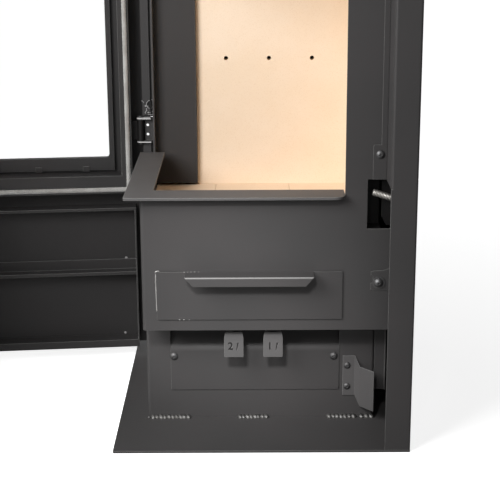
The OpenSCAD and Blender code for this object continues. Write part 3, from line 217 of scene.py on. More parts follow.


# %% [markdown]
# ## Painted steel
# Most of the stove is black stove paint: as sprayed on the casing, a little paler on the pedestal and its
# cover, darker on the door as painted shade, lighter on the sill and guide bracket as painted sheen, and
# rubbed where hands reach. One function makes them all from a grey level and the level of the painted
# edge highlight, which keeps them a family. The fold of the drawer's handle gets a painted highlight,
# and its mask comes from the way the surface faces, because only the bend faces up and forward.

# %% Painted steel
def new_material(name):
    """A new material with its node tree and its Principled shader."""
    material = bpy.data.materials.new(name)
    material.use_nodes = True
    tree = material.node_tree
    shader = tree.nodes["Principled BSDF"]
    return material, tree, shader


paint_edge_radius, paint_edge_highlight_share = 1.1 * mm, 0.55
chip_color, fold_highlight_color = rgb(150, 148, 145), rgb(136, 135, 134)


def painted(name, color, tint, roughness, edge_highlight_color, grain_size=1100.0, bump=0.12, breaks=0.25,
            specular=0.5, rubbed=None):
    """Sprayed stove paint on steel, with a painted highlight along its edges and bare metal in small
    chips.

    Where the surface faces a given direction, as on a bend, a lighter colour is laid on as a painted
    highlight.
    """
    material, tree, shader = new_material(name)
    base = use(tree, mottle, Color=color, Tint=tint, Scale=5.0, Amount=0.5)
    rim = use(tree, edge, Radius=paint_edge_radius, Breaks=breaks)
    spray = use(tree, grain, Scale=grain_size)
    # A lighter colour laid along the edge mask: a painted highlight.
    lit = step(tree, "MULTIPLY", rim["Mask"], paint_edge_highlight_share)
    with_edge_highlight = blend_color(tree, lit, base["Color"], edge_highlight_color)
    shown = blend_color(tree, rim["Chips"], with_edge_highlight, chip_color)
    # On the fold, a lighter colour where the surface faces the given direction: a painted highlight.
    if rubbed:
        surface = put(tree, "ShaderNodeNewGeometry").outputs["True Normal"]
        facing = put(tree, "ShaderNodeVectorMath", {0: surface, 1: rubbed}, operation="DOT_PRODUCT")
        bend = remap(tree, facing.outputs["Value"], 0.9, 0.98)
        shown = blend_color(tree, bend, shown, fold_highlight_color)
    rough = remap(tree, base["Cloud"], 0.0, 1.0, roughness - 0.05, roughness + 0.06)
    bumped = add_bump(tree, spray["Height"], bump, 0.4 * mm, rim["Normal"])
    tree.links.new(shown, shader.inputs["Base Color"])
    tree.links.new(rough, shader.inputs["Roughness"])
    tree.links.new(rim["Chips"], shader.inputs["Metallic"])
    tree.links.new(bumped, shader.inputs["Normal"])
    shader.inputs["Specular IOR Level"].default_value = specular
    return material


def coat(name, level, edge_highlight_level=150, **more):
    """A painted finish at one grey level, a little warmer where the coat is thin."""
    color = rgb(level, level - 1, level - 1)
    tint = rgb(level + 6, level + 3, level + 3)
    edge_highlight_color = rgb(edge_highlight_level, edge_highlight_level, edge_highlight_level - 2)
    return painted(name, color, tint, 0.55, edge_highlight_color, specular=0.25, **more)


black_paint = coat("stove_paint", 64)
# A little paler on the pedestal and its cover.
pale_paint = coat("pale_pedestal_paint", 68)
# Lighter paint on the sill and the guide bracket: painted sheen and painted light on their lit faces.
lit_sill_and_ramp_paint = coat("lit_sill_and_ramp_paint", 88, 190)
plate_paint = coat("floor_plate_paint", 69)
casing_paint = coat("casing_paint", 62)
# Darker levels on the door and its frames stand in for shade: painted shade; the dark steel slot shares
# the darker one.
door_shade_paint = coat("door_shade_paint", 51, 110)
dark_steel_and_shade_paint = coat("heat_darkened_paint", 56, 185)
handled_paint = coat("handled_paint", 62, 120, breaks=0.3)
up_and_forward = (0.0, -0.707, 0.707)
# The handle's fold carries a painted highlight where it faces up and forward.
folded_paint = coat("handle_paint", 66, 105, rubbed=up_and_forward)
tab_paint = coat("tab_paint", 90, 170, grain_size=420.0, bump=0.5)
# Near black for notches, the latch pocket and the hinge knuckles: painted shade.
soot = coat("soot", 22, 40)
# Pale finish for the hinge ears: rubbed wear and a painted highlight.
ear_wear_and_highlight_paint = coat("rubbed_rim", 226, 230)
print("painted finishes:", [m.name for m in bpy.data.materials if "paint" in m.name])


# %% [markdown]
# ## Bare metal
# The screws, weld beads, latch rod and door grip are bare or zinc plated steel: metallic, fairly rough,
# with fine scratches and a little grime. A smooth mirror would be quicker, but nothing on a used stove
# is one. The cast grate is dull and coarse, so it is made like the paint.

# %% Bare steel and castings
grime_color = rgb(96, 92, 88)


def bare_steel(name, color, roughness, scratch=260.0, bump=0.15):
    """Bare or plated steel with fine scratches and a little grime."""
    material, tree, shader = new_material(name)
    base = use(tree, mottle, Color=color, Tint=grime_color, Scale=90.0, Amount=0.35)
    rim = use(tree, edge, Radius=0.6 * mm, Breaks=0.0)
    lines = use(tree, grain, Scale=scratch, Coarse=0.8)
    bumped = add_bump(tree, lines["Height"], bump, 0.3 * mm, rim["Normal"])
    rough = remap(tree, base["Cloud"], 0, 1, roughness - 0.06, roughness + 0.1)
    tree.links.new(base["Color"], shader.inputs["Base Color"])
    tree.links.new(rough, shader.inputs["Roughness"])
    tree.links.new(bumped, shader.inputs["Normal"])
    shader.inputs["Metallic"].default_value = 1.0
    return material


screw_steel = bare_steel("socket_screw_steel", rgb(96, 96, 97), 0.52)
weld_steel = bare_steel("weld_steel", rgb(112, 111, 110), 0.55, 400.0, 0.4)
worn_steel = bare_steel("worn_steel", rgb(200, 198, 196), 0.45, 500.0, 0.3)
rod_steel = bare_steel("zinc_plated_rod", rgb(178, 175, 170), 0.52)
grip_steel = bare_steel("brushed_grip", rgb(180, 180, 182), 0.3)
grate_iron = painted("cast_iron", rgb(58, 56, 55), rgb(70, 64, 60), 0.62, rgb(96, 94, 92),
                     grain_size=500.0, bump=0.5, breaks=0.0)
print("metals:", [m.name for m in bpy.data.materials if "steel" in m.name or "iron" in m.name])

# %% [markdown]
# ## Fire lining and storage blocks
# The lining boards are pressed vermiculite: a warm cream colour with golden flakes and a sandy face.
# Noise alone would look like plaster, so cells give the flakes their clear outlines: a few cells take
# the flake's colour, and all of them add to the relief. The storage blocks are the same in dark stone.

# %% Boards and blocks
def pressed_board(name, color, tint, flake, flake_share, cell, bump=0.35):
    """A board pressed from mineral flakes; cell is the number of flakes in a metre."""
    material, tree, shader = new_material(name)
    base = use(tree, mottle, Color=color, Tint=tint, Scale=9.0, Amount=0.55)
    rim = use(tree, edge, Radius=1.6 * mm, Breaks=0.0)
    here = put(tree, "ShaderNodeTexCoord").outputs["Object"]
    cells = put(tree, "ShaderNodeTexVoronoi", {"Vector": here, "Scale": cell}).outputs
    pick = put(tree, "ShaderNodeSeparateColor", {"Color": cells["Color"]}).outputs["Red"]
    flakes = step(tree, "MULTIPLY", remap(tree, pick, 0.86, 0.9), flake_share)
    shown = blend_color(tree, flakes, base["Color"], flake)
    sand = use(tree, grain, Scale=700.0, Coarse=0.8)
    relief = step(tree, "ADD", sand["Height"], step(tree, "MULTIPLY", cells["Distance"], 0.5))
    bumped = add_bump(tree, relief, bump, 0.8 * mm, rim["Normal"])
    tree.links.new(shown, shader.inputs["Base Color"])
    tree.links.new(bumped, shader.inputs["Normal"])
    shader.inputs["Roughness"].default_value = 0.92
    shader.inputs["Specular IOR Level"].default_value = 0.2
    return material


lining_board = pressed_board("vermiculite_board", rgb(252, 233, 211), rgb(246, 224, 197),
                             rgb(224, 194, 158), 0.22, 900.0, 0.2)
storage_block = pressed_board("storage_block", rgb(120, 112, 104), rgb(98, 92, 88),
                              rgb(70, 66, 64), 0.6, 220.0)
print("boards:", lining_board.name, storage_block.name)


# %% [markdown]
# ## Rope and fibre tape
# The door's rope and the gaskets of the panes are glass fibre: pale or dark yarn, dull, with a soft
# sheen. Their relief comes from their own meshes, so the material adds only the fine threads and old
# soot.

# %% Fibre
def fibre(name, color, tint):
    """Glass fibre yarn: dull threads with a soft sheen, stained in patches."""
    material, tree, shader = new_material(name)
    base = use(tree, mottle, Color=color, Tint=tint, Scale=28.0, Amount=0.8)
    threads = use(tree, grain, Scale=1600.0, Coarse=0.5)
    bumped = add_bump(tree, threads["Height"], 0.5, 0.6 * mm)
    tree.links.new(base["Color"], shader.inputs["Base Color"])
    tree.links.new(bumped, shader.inputs["Normal"])
    shader.inputs["Roughness"].default_value = 0.85
    shader.inputs["Sheen Weight"].default_value = 0.3
    return material


rope_fibre = fibre("rope_fibre", rgb(196, 195, 192), rgb(160, 156, 152))
tape_fibre = fibre("tape_fibre", rgb(40, 40, 40), rgb(52, 50, 48))
print("fibres:", rope_fibre.name, tape_fibre.name)

# %% [markdown]
# ## Door glass
# Glass ceramic is clear with a very faint tone. A see-through surface would do for one picture, but the
# pane is a real slab with two faces, so true transmission gives it double reflections, as on the stove.

# %% Glass
door_glass, tree, shader = new_material("glass_ceramic")
shader.inputs["Base Color"].default_value = (0.97, 0.975, 0.97, 1)
shader.inputs["Roughness"].default_value = 0.02
shader.inputs["Transmission Weight"].default_value = 1.0
shader.inputs["IOR"].default_value = 1.45
print("glass:", door_glass.name)

# %% [markdown]
# ## Give the frame's nodes their finish
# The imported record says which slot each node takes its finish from. Nodes that are handled, dusty or
# heated differ from their slot's usual finish, so they are named one by one.

# %% Finishes of the CAD nodes
finish_of_slot = {
    "black_steel": black_paint, "dark_steel": dark_steel_and_shade_paint, "bright_steel": screw_steel,
    "handle_steel": grip_steel, "grate_iron": grate_iron, "lining": lining_board,
    "storage_stone": storage_block, "sealing_rope": rope_fibre, "gasket": tape_fibre,
    "door_glass": door_glass,
}
special_finish = {
    "drawer_front": handled_paint, "drawer_handle": folded_paint, "hearth_sill": lit_sill_and_ramp_paint,
    "primary_air_lever": tab_paint, "secondary_air_lever": tab_paint, "pedestal": pale_paint,
    "air_box_cover": pale_paint, "guide_bracket": lit_sill_and_ramp_paint, "base_plate": plate_paint,
    # The latch pocket and the hinge knuckles take the near black paint: painted shade.
    "latch_pocket": soot, "hinge_knuckles": soot,
    "right_casing": casing_paint, "back_casing": casing_paint, "upper_casing": casing_paint,
    "top_cover": casing_paint, "door_front_skin": door_shade_paint, "door_side_skin": door_shade_paint,
    "seal_frame": dark_steel_and_shade_paint, "door_lower_frame": dark_steel_and_shade_paint, "door_cross_bar": dark_steel_and_shade_paint,
}
for part in frame["record"]["subparts"]:
    finish = special_finish.get(part["node"], finish_of_slot[part["material_slot"]])
    slots = nodes[part["node"]].data.materials
    slots.clear()
    slots.append(finish)

# %% [markdown]
# ## Tools for own pieces
# Most own pieces are closed skins through rings of points: a thread, a nut, a burr and a lump of weld
# metal differ only in their rings. They could be sculpted, but rings that follow a rule keep their real
# measures. Each piece rides on the body it belongs to and takes the place of the plain solid, if there
# is one.

# %% Skins and pieces
def skin(rings):
    """A closed shape through rings of points that run counter-clockwise, seen from the last ring."""
    around = len(rings[0])
    points = [point for ring in rings for point in ring]
    faces = [tuple(reversed(range(around)))]
    for start in range(0, len(points) - around, around):
        for k in range(around):
            following = (k + 1) % around
            faces.append((start + k, start + following, start + following + around, start + k + around))
    faces.append(tuple(range(len(points) - around, len(points))))
    return points, faces


def turned(heights, around, radius, place):
    """Rings around the place's own Z axis, with a radius that may change with height and angle."""
    angles = [tau * k / around for k in range(around)]
    return skin([[place @ Vector((radius(h, a) * cos(a), radius(h, a) * sin(a), h)) for a in angles]
                 for h in heights])


def lump(center, radii, seed, rows=9, around=14, rough=0.12):
    """A small closed lump with an uneven surface and a tiny flat at each pole."""
    top = 0.985
    rings = []
    for row in range(rows):
        h = -top + 2 * top * row / (rows - 1)
        ring = []
        for k in range(around):
            angle = tau * k / around
            flat = (1 - h * h) ** 0.5
            p = Vector((flat * cos(angle), flat * sin(angle), h))
            p *= 1 + rough * noise.noise(p * 1.7 + Vector((seed, seed * 0.7, 0)))
            ring.append(center + Vector((p.x * radii[0], p.y * radii[1], p.z * radii[2])))
        rings.append(ring)
    return skin(rings)


def mesh_of(name, parts, smooth=True):
    """One mesh out of several skins."""
    points, faces = [], []
    for part_points, part_faces in parts:
        start = len(points)
        points += part_points
        faces += [[start + i for i in face] for face in part_faces]
    mesh = bpy.data.meshes.new(name)
    mesh.from_pydata(points, [], faces)
    mesh.polygons.foreach_set("use_smooth", [smooth] * len(mesh.polygons))
    return mesh


def own_piece(name, mesh, body, finish, replaced=()):
    """Put a mesh into the scene, on its body and finish."""
    mesh.materials.clear()
    mesh.materials.append(finish)
    piece = bpy.data.objects.new(name, mesh)
    bpy.context.scene.collection.objects.link(piece)
    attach(piece, body)
    if replaced:
        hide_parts(*replaced)
    print(name, "on", body, sum(len(p.vertices) - 2 for p in mesh.polygons), "triangles")


# %% [markdown]
# ## Tools for what repeats
# The yarns of the rope and the ripples of the weld are made with Geometry Nodes. A loop in code could
# place them too, but the nodes sweep and scatter along any line, with every measure as a named number.
# A group runs once on a line of points, and the result is kept as a plain mesh.

# %% Geometry node helpers
def new_builder(name, numbers):
    """A geometry node group with a Geometry input and output and named numbers."""
    group = bpy.data.node_groups.new(name, "GeometryNodeTree")
    group.interface.new_socket("Geometry", in_out="INPUT", socket_type="NodeSocketGeometry")
    for label, kind in numbers:
        group.interface.new_socket(label, in_out="INPUT", socket_type=kind)
    group.interface.new_socket("Geometry", in_out="OUTPUT", socket_type="NodeSocketGeometry")
    return group, group.nodes.new("NodeGroupInput").outputs, group.nodes.new("NodeGroupOutput").inputs


def grow(name, lines, group, values):
    """Run a geometry node group on lines of points and keep what it makes as a mesh."""
    points, edges = [], []
    for line in lines:
        edges += [(len(points) + i, len(points) + i + 1) for i in range(len(line) - 1)]
        points += line
    base = bpy.data.meshes.new(name + "_line")
    base.from_pydata(points, edges, [])
    source = bpy.data.objects.new(name + "_line", base)
    bpy.context.scene.collection.objects.link(source)
    modifier = source.modifiers.new(name, "NODES")
    modifier.node_group = group
    for socket in group.interface.items_tree:
        if socket.in_out == "INPUT" and socket.name in values:
            modifier[socket.identifier] = values[socket.name]
    graph = bpy.context.evaluated_depsgraph_get()
    mesh = bpy.data.meshes.new_from_object(source.evaluated_get(graph), depsgraph=graph)
    source.modifiers.remove(modifier)
    bpy.data.objects.remove(source)
    mesh.name = name
    return mesh


# %% Steps that several builders share
def even_curve(tree, edges, spacing):
    """A line of points as a curve with evenly spaced points."""
    curve = put(tree, "GeometryNodeMeshToCurve", {"Mesh": edges}).outputs[0]
    return put(tree, "GeometryNodeResampleCurve", {"Curve": curve, "Length": spacing},
               mode="LENGTH").outputs[0]


def scaled(tree, vector, factor):
    """A vector times a number."""
    return put(tree, "ShaderNodeVectorMath", {0: vector, "Scale": factor}, operation="SCALE").outputs[0]


def tube(tree, path, radius, sides):
    """A closed tube along a curve."""
    ring = put(tree, "GeometryNodeCurvePrimitiveCircle",
               {"Resolution": sides, "Radius": radius}).outputs[0]
    return put(tree, "GeometryNodeCurveToMesh",
               {"Curve": path, "Profile Curve": ring, "Fill Caps": True}).outputs[0]


def hand_out(tree, geometry, finish, output):
    """Turn what a builder made into real, smooth mesh with its finish."""
    whole = put(tree, "GeometryNodeRealizeInstances", {"Geometry": geometry}).outputs[0]
    smoothed = put(tree, "GeometryNodeSetShadeSmooth", {"Geometry": whole}).outputs[0]
    finished = put(tree, "GeometryNodeSetMaterial", {"Geometry": smoothed, "Material": finish}).outputs[0]
    tree.links.new(finished, output)


# %% [markdown]
# ## The plaited sealing rope
# The rope lies in the door's channel: along the bottom round the glass corner, up the free edge, back
# along the top and down the hinge side, where its two ends meet. Its measures are easiest to read on
# the shut door, where every run is square. So the route is drawn there and then turned open with the
# door.

# %% Route of the rope
door_pivot = Vector((-227, 187, 0)) * mm
door_turn = Matrix.Rotation(radians(-84.5), 4, "Z")
door_opened = Matrix.Translation(door_pivot) @ door_turn @ Matrix.Translation(-door_pivot)
rope_x, rope_y, rope_rear, rope_end = -205.3, -210.3, 161.0, 163.5
rope_low, rope_high, rope_joint, joint_gap = 351.0, 918.5, 386.0, 1.2
rope_bend = 6.5
corners = [(rope_x, rope_rear, rope_joint), (rope_x, rope_rear, rope_low), (rope_x, rope_y, rope_low),
           (rope_end, rope_y, rope_low), (rope_end, rope_y, rope_high), (rope_x, rope_y, rope_high),
           (rope_x, rope_rear, rope_high), (rope_x, rope_rear, rope_joint + joint_gap)]


def rounded_route(corners, radius):
    """The corner points with each corner turned into an arc."""
    steps = 8
    corners = [Vector(c) for c in corners]
    route = [corners[0]]
    for before, here, after in zip(corners, corners[1:], corners[2:]):
        arriving = (here - before).normalized()
        leaving = (after - here).normalized()
        center = here - arriving * radius + leaving * radius
        for i in range(steps + 1):
            angle = pi / 2 * i / steps
            route.append(center - leaving * radius * cos(angle) + arriving * radius * sin(angle))
    return route + [corners[-1]]


rope_route = [door_opened @ (p * mm) for p in rounded_route(corners, rope_bend)]
print("rope route:", len(rope_route), "points")

# %% [markdown]
# A picture of a plait on a smooth tube would look flat from the side, and a plait with every thread
# would be too heavy. So eight yarns run round a core, four each way, with their real crossings: the two
# directions swap between outer and inner as a cosine of the way along, once for each crossing.

# %% Path of each yarn
plait, g_in, g_out = new_builder("plait", [
    ("Yarns", "NodeSocketInt"), ("Lay", FLOAT), ("Ring", FLOAT), ("Wave", FLOAT), ("Yarn Radius", FLOAT),
    ("Core Radius", FLOAT), ("Step", FLOAT), ("Finish", "NodeSocketMaterial")])
middle = even_curve(plait, g_in["Geometry"], g_in["Step"])
copies = put(plait, "GeometryNodeDuplicateElements", {"Geometry": middle, "Amount": g_in["Yarns"]},
             domain="SPLINE").outputs
number = copies["Duplicate Index"]
along = put(plait, "GeometryNodeSplineParameter").outputs["Length"]
tangent = put(plait, "GeometryNodeInputTangent").outputs[0]
normal = put(plait, "GeometryNodeInputNormal").outputs["Normal"]
across = put(plait, "ShaderNodeVectorMath", {0: tangent, 1: normal}, operation="CROSS_PRODUCT").outputs[0]
way = step(plait, "SUBTRACT", 1.0, step(plait, "MULTIPLY", step(plait, "MODULO", number, 2.0), 2.0))
pair = step(plait, "FLOOR", step(plait, "DIVIDE", number, 2.0))
laps = step(plait, "DIVIDE", along, g_in["Lay"])
wound = step(plait, "MULTIPLY", step(plait, "MULTIPLY", laps, tau), way)
angle = step(plait, "ADD", wound, step(plait, "MULTIPLY", pair, pi / 2))
crossing = step(plait, "COSINE", step(plait, "MULTIPLY", laps, 8 * pi))
over = step(plait, "MULTIPLY", step(plait, "MULTIPLY", crossing, way), g_in["Wave"])
reach = step(plait, "ADD", g_in["Ring"], over)
out_a = scaled(plait, normal, step(plait, "MULTIPLY", step(plait, "COSINE", angle), reach))
out_b = scaled(plait, across, step(plait, "MULTIPLY", step(plait, "SINE", angle), reach))
offset = put(plait, "ShaderNodeVectorMath", {0: out_a, 1: out_b}, operation="ADD").outputs[0]
yarns = put(plait, "GeometryNodeSetPosition",
            {"Geometry": copies["Geometry"], "Offset": offset}).outputs[0]
print("path of a yarn:", len(plait.nodes), "nodes")

# %% Yarns and core
tubes = tube(plait, yarns, g_in["Yarn Radius"], 5)
core = tube(plait, middle, g_in["Core Radius"], 8)
both = put(plait, "GeometryNodeJoinGeometry", {"Geometry": tubes})
plait.links.new(core, both.inputs["Geometry"])
hand_out(plait, both.outputs[0], g_in["Finish"], g_out["Geometry"])
rope_mesh = grow("rope_plait", [rope_route], plait, {
    "Yarns": 8, "Lay": 26 * mm, "Ring": 3.0 * mm, "Wave": 0.45 * mm, "Yarn Radius": 1.5 * mm,
    "Core Radius": 2.9 * mm, "Step": 1.45 * mm, "Finish": rope_fibre})
own_piece("rope_plait", rope_mesh, "door", rope_fibre, ["door_rope"])

# %% [markdown]
# ## Weld beads
# The pedestal is welded to the base plate by hand, in runs of overlapping ripples. A row of equal balls
# would look like a string of pearls, so each ripple is an ellipsoid with its own size and turn. Noise
# then pits the surface, and every bead is cut flat where it has melted into the plate and the pedestal.

# %% Weld ripples
ripples, g_in, g_out = new_builder("ripples", [
    ("Pitch", FLOAT), ("Size", VECTOR), ("Uneven", FLOAT), ("Seed", "NodeSocketInt"),
    ("Finish", "NodeSocketMaterial")])
spots = even_curve(ripples, g_in["Geometry"], g_in["Pitch"])
ball = put(ripples, "GeometryNodeMeshUVSphere",
           {"Segments": 20, "Rings": 12, "Radius": 1.0}).outputs["Mesh"]
low = step(ripples, "SUBTRACT", 1.0, g_in["Uneven"])
high = step(ripples, "ADD", 1.0, step(ripples, "MULTIPLY", g_in["Uneven"], 0.6))
grown = put(ripples, "FunctionNodeRandomValue", {2: low, 3: high, "Seed": g_in["Seed"]},
            data_type="FLOAT")
turn = put(ripples, "FunctionNodeRandomValue",
           {0: (-0.15, -0.12, 0.05), 1: (0.15, 0.12, 0.45), "Seed": g_in["Seed"]},
           data_type="FLOAT_VECTOR").outputs[0]
size = scaled(ripples, g_in["Size"], grown.outputs[1])
placed = put(ripples, "GeometryNodeInstanceOnPoints",
             {"Points": spots, "Instance": ball, "Rotation": turn, "Scale": size}).outputs[0]
hand_out(ripples, placed, g_in["Finish"], g_out["Geometry"])
pedestal_y, plate_top = -137 * mm, 4 * mm
weld_runs = [(-191.5, -129.5), (-37.0, 9.0), (121.0, 165.0), (179.0, 196.0)]
weld_lines = [[Vector((x * mm, pedestal_y, plate_top)) for x in run] for run in weld_runs]
weld_mesh = grow("weld_beads", weld_lines, ripples, {
    "Pitch": 6.4 * mm, "Size": (5.4 * mm, 8.6 * mm, 6.0 * mm), "Uneven": 0.12, "Seed": 4,
    "Finish": weld_steel})
print("weld runs:", len(weld_runs))


# %% Pits, spatter and flat cuts
def cut_flat(work, place, outward):
    """Cut away what lies beyond a plane and close every cut."""
    everything = work.verts[:] + work.edges[:] + work.faces[:]
    cut = bmesh.ops.bisect_plane(work, geom=everything, plane_co=place, plane_no=outward,
                                 clear_outer=True)
    rim = [item for item in cut["geom_cut"] if isinstance(item, bmesh.types.BMEdge)]
    bmesh.ops.holes_fill(work, edges=rim)


pits_per_metre, pit_depth = 420, 0.7
melted_in = 1 * mm
spatter = [((-199.0, -140.5, 5.2), (2.1, 2.1, 1.9), 3), ((-204.5, -143.0, 4.8), (0.9, 0.9, 0.8), 8)]
work = bmesh.new()
work.from_mesh(weld_mesh)
for vert in work.verts:
    vert.co += vert.normal * noise.noise(vert.co * pits_per_metre) * pit_depth * mm
for center, radii, seed in spatter:
    points, faces = lump(Vector(center) * mm, [radius * mm for radius in radii], seed)
    made = [work.verts.new(point) for point in points]
    for face in faces:
        work.faces.new([made[i] for i in face]).smooth = True
cut_flat(work, Vector((0, pedestal_y + melted_in, 0)), Vector((0, 1, 0)))
cut_flat(work, Vector((0, 0, plate_top - melted_in)), Vector((0, 0, -1)))
bmesh.ops.recalc_face_normals(work, faces=work.faces)
work.to_mesh(weld_mesh)
work.free()
own_piece("weld_beads", weld_mesh, "stove_body", weld_steel, ["pedestal_welds"])

# %% [markdown]
# ## Threaded latch rod
# The rod that the door's hook catches is a piece of zinc plated threaded rod with a nut inside the
# pocket. A bump map would leave its outline smooth, so the thread is real: the radius of each ring
# swings with the height and the angle, which makes one continuous groove.

# %% Rod and nut
rod_radius, rod_tilt = 6.0, radians(107.5)
rod_from, rod_to, end_bevel = -13.0, 39.0, 1.3
nut_from, nut_to, nut_bevel = 30.0, 36.0, 0.2
thread_pitch, thread_depth = 2.5, 0.9
ring_step = 0.4
rod_place = Matrix.Translation(Vector((198.0, -195.8, 425.5)) * mm) @ Matrix.Rotation(rod_tilt, 4, "Y")
rod_place = rod_place @ Matrix.Scale(mm, 4)


def thread_radius(height, angle):
    """A V thread that runs out at both ends of the rod."""
    turn = (height / thread_pitch - angle / tau) % 1
    groove = thread_depth * (1 - abs(2 * turn - 1))
    from_end = min(height - rod_from, rod_to - height)
    return min(rod_radius - groove, rod_radius - end_bevel + from_end)


def nut_radius(height, angle):
    """A hexagon with its corners taken off at both faces."""
    apothem = rod_radius * 1.75 * cos(pi / 6)
    hexagon = apothem / cos(angle % (pi / 3) - pi / 6)
    from_face = min(height - nut_from, nut_to - height)
    return min(hexagon, apothem + nut_bevel + 1.6 * from_face)


rod_heights = [rod_from + i * ring_step for i in range(round((rod_to - rod_from) / ring_step) + 1)]
nut_heights = [nut_from + i * ring_step for i in (0, 1, 2, 3, 12, 13, 14, 15)]
rod_mesh = mesh_of("threaded_rod", [turned(rod_heights, 32, thread_radius, rod_place),
                                    turned(nut_heights, 48, nut_radius, rod_place)])
own_piece("threaded_rod", rod_mesh, "stove_body", rod_steel, ["latch_rod"])

# %% [markdown]
# ## Marks on the air levers
# Each tab carries a number and a slanted arrow, pressed into the steel. Cutting them into the tab would
# change the CAD's own piece. So each mark is a thin dark plate, painted shade of the hollow, and a pale
# copy behind it, moved a little, a painted highlight on the edge where the steel is pushed up.

# %% Lever marks
# Dark plate: painted shade of the hollow; pale copy: painted highlight of its raised edge.
mark_shade_paint = coat("mark_shade", 26, 40)
mark_highlight_paint = coat("mark_highlight", 128, 160)
tab_front, mark_middle, mark_depth = -186.0, 155.7, 0.12
digit_height, digit_shift = 13.6, -5.6
arrow_height, arrow_shift = 13.4, 6.6
font_size_per_height, stroke_widening = 1.38, 0.35


def number_mesh(text, height):
    """A number as a thin closed plate that lies flat, centred on its own place."""
    data = bpy.data.curves.new("number", "FONT")
    data.body = text
    data.size = height * font_size_per_height
    data.extrude = mark_depth
    data.offset = stroke_widening
    data.align_x = "CENTER"
    data.align_y = "CENTER"
    holder = bpy.data.objects.new("number", data)
    bpy.context.scene.collection.objects.link(holder)
    graph = bpy.context.evaluated_depsgraph_get()
    mesh = bpy.data.meshes.new_from_object(holder.evaluated_get(graph), depsgraph=graph)
    bpy.data.objects.remove(holder)
    return mesh


def slanted_arrow(height):
    """A pointed slanted stroke, wide at its top."""
    end = height / 2
    outline = [(2.6, end), (-1.5, end - 0.6), (-0.9, end - 2.8), (-2.4, -end), (-1.3, -end),
               (1.2, end - 3.2)]
    return skin([[Vector((x, z, d)) for x, z in outline] for d in (-mark_depth, mark_depth)])


def mark_mesh(name, text):
    """The number and the arrow of one tab as one mesh, lying flat, in millimetres."""
    work = bmesh.new()
    digit = number_mesh(text, digit_height)
    digit.transform(Matrix.Translation((digit_shift, 0, 0)))
    work.from_mesh(digit)
    points, faces = slanted_arrow(arrow_height)
    made = [work.verts.new(point + Vector((arrow_shift, 0, 0))) for point in points]
    for face in faces:
        work.faces.new([made[i] for i in face])
    bmesh.ops.remove_doubles(work, verts=work.verts, dist=1e-4)
    bmesh.ops.recalc_face_normals(work, faces=work.faces)
    mesh = bpy.data.meshes.new(name)
    work.to_mesh(mesh)
    work.free()
    return mesh


def lever_marks(name, text, middle_x, body):
    """The dark marks of one tab as painted shade, and the pushed-up edge beside them as a painted
    highlight.
    """
    upright = Matrix.Rotation(pi / 2, 4, "X") @ Matrix.Scale(mm, 4)
    # The shade part is painted shade, the edge part a painted highlight.
    for part, finish, shift, lift in (("shade", mark_shade_paint, (0, 0), mark_depth),
                                      ("edge", mark_highlight_paint, (0.75, -0.5), 0.0)):
        mesh = mark_mesh(name + "_" + part, text)
        place = Vector((middle_x + shift[0], tab_front - lift, mark_middle + shift[1])) * mm
        mesh.transform(Matrix.Translation(place) @ upright)
        own_piece(name + "_" + part, mesh, body, finish)


lever_marks("mark_two", "2", -46.2, "secondary_air")
lever_marks("mark_one", "1", 21.2, "primary_air")

# %% [markdown]
# ## Wear of one real stove
# The drawer's left edge is scraped bright, and its top and bottom edges have small chips. The wear
# could be a mask in the paint, but at a thin edge a mask shows only as a line, while a burr of metal
# catches the light as it does on the stove.


# %% Scraped drawer edge
def jitter(seed, amount):
    """An uneven number within an amount, the same each time for the same seed."""
    return amount * noise.noise(Vector((seed * 1.37, seed * 0.61, 2.4)))


scrape_from, scrape_to, scrape_rings, thin_rings = 226.6, 293.4, 70, 3


def scraped_edge():
    """A ragged burr down the drawer's left edge, thin at both ends."""
    rings = []
    last = scrape_rings - 1
    for i in range(scrape_rings):
        z = scrape_from + (scrape_to - scrape_from) * i / last
        left = -176.2 - 0.8 * i / last + jitter(i * 0.55, 0.6)
        width = 1.5 + jitter(i * 0.9 + 40, 1.1)
        if i < thin_rings or i > last - thin_rings:
            width *= 0.4
        front = -208.2 + jitter(i * 0.7 + 90, 0.5)
        right, back = left + width, front + 1.2
        outline = [(left, front), (right, front), (right, back), (left, back)]
        rings.append([Vector((x, y, z)) * mm for x, y in outline])
    return skin(rings)


def curl_at_top():
    """The lifted paint round the corner where the scrape ends."""
    lumps = []
    for i in range(7):
        turn = pi * i / 9
        place = Vector((-172.4 - 4.0 * cos(turn), -207.0, 295.6 + 2.2 * sin(turn))) * mm
        lumps.append(lump(place, (0.9 * mm, 0.6 * mm, 0.7 * mm), i + 20, 6, 8, 0.3))
    return lumps


drawer_face = -207.6
edge_chips = [(-127.5, 296.0, 1.6), (-122.0, 296.1, 1.2), (-116.5, 296.0, 2.0), (-110.5, 296.2, 1.7),
              (-104.0, 296.0, 1.1), (-136.8, 212.2, 1.9), (-129.7, 212.1, 1.5), (-120.6, 212.2, 1.7)]
wear = [scraped_edge()]
for i, (x, z, width) in enumerate(edge_chips):
    place = Vector((x, drawer_face, z)) * mm
    wear.append(lump(place, (width * mm, 0.7 * mm, 0.5 * mm), i * 2.3, 7, 10, 0.3))
wear += curl_at_top()
own_piece("drawer_wear", mesh_of("drawer_wear", wear), "ash_drawer", worn_steel)

# %% [markdown]
# ## Burnt notches
# At each hinge the folded strip is burnt out in a round notch, with a ragged pale rim, spatter below it
# and a dark hole. A smooth round hole, as the CAD has it at the lower hinge, would look drilled. So a
# thin bead wanders along arcs on the strip's face, and a dark filling behind it is painted shade in the
# hole.


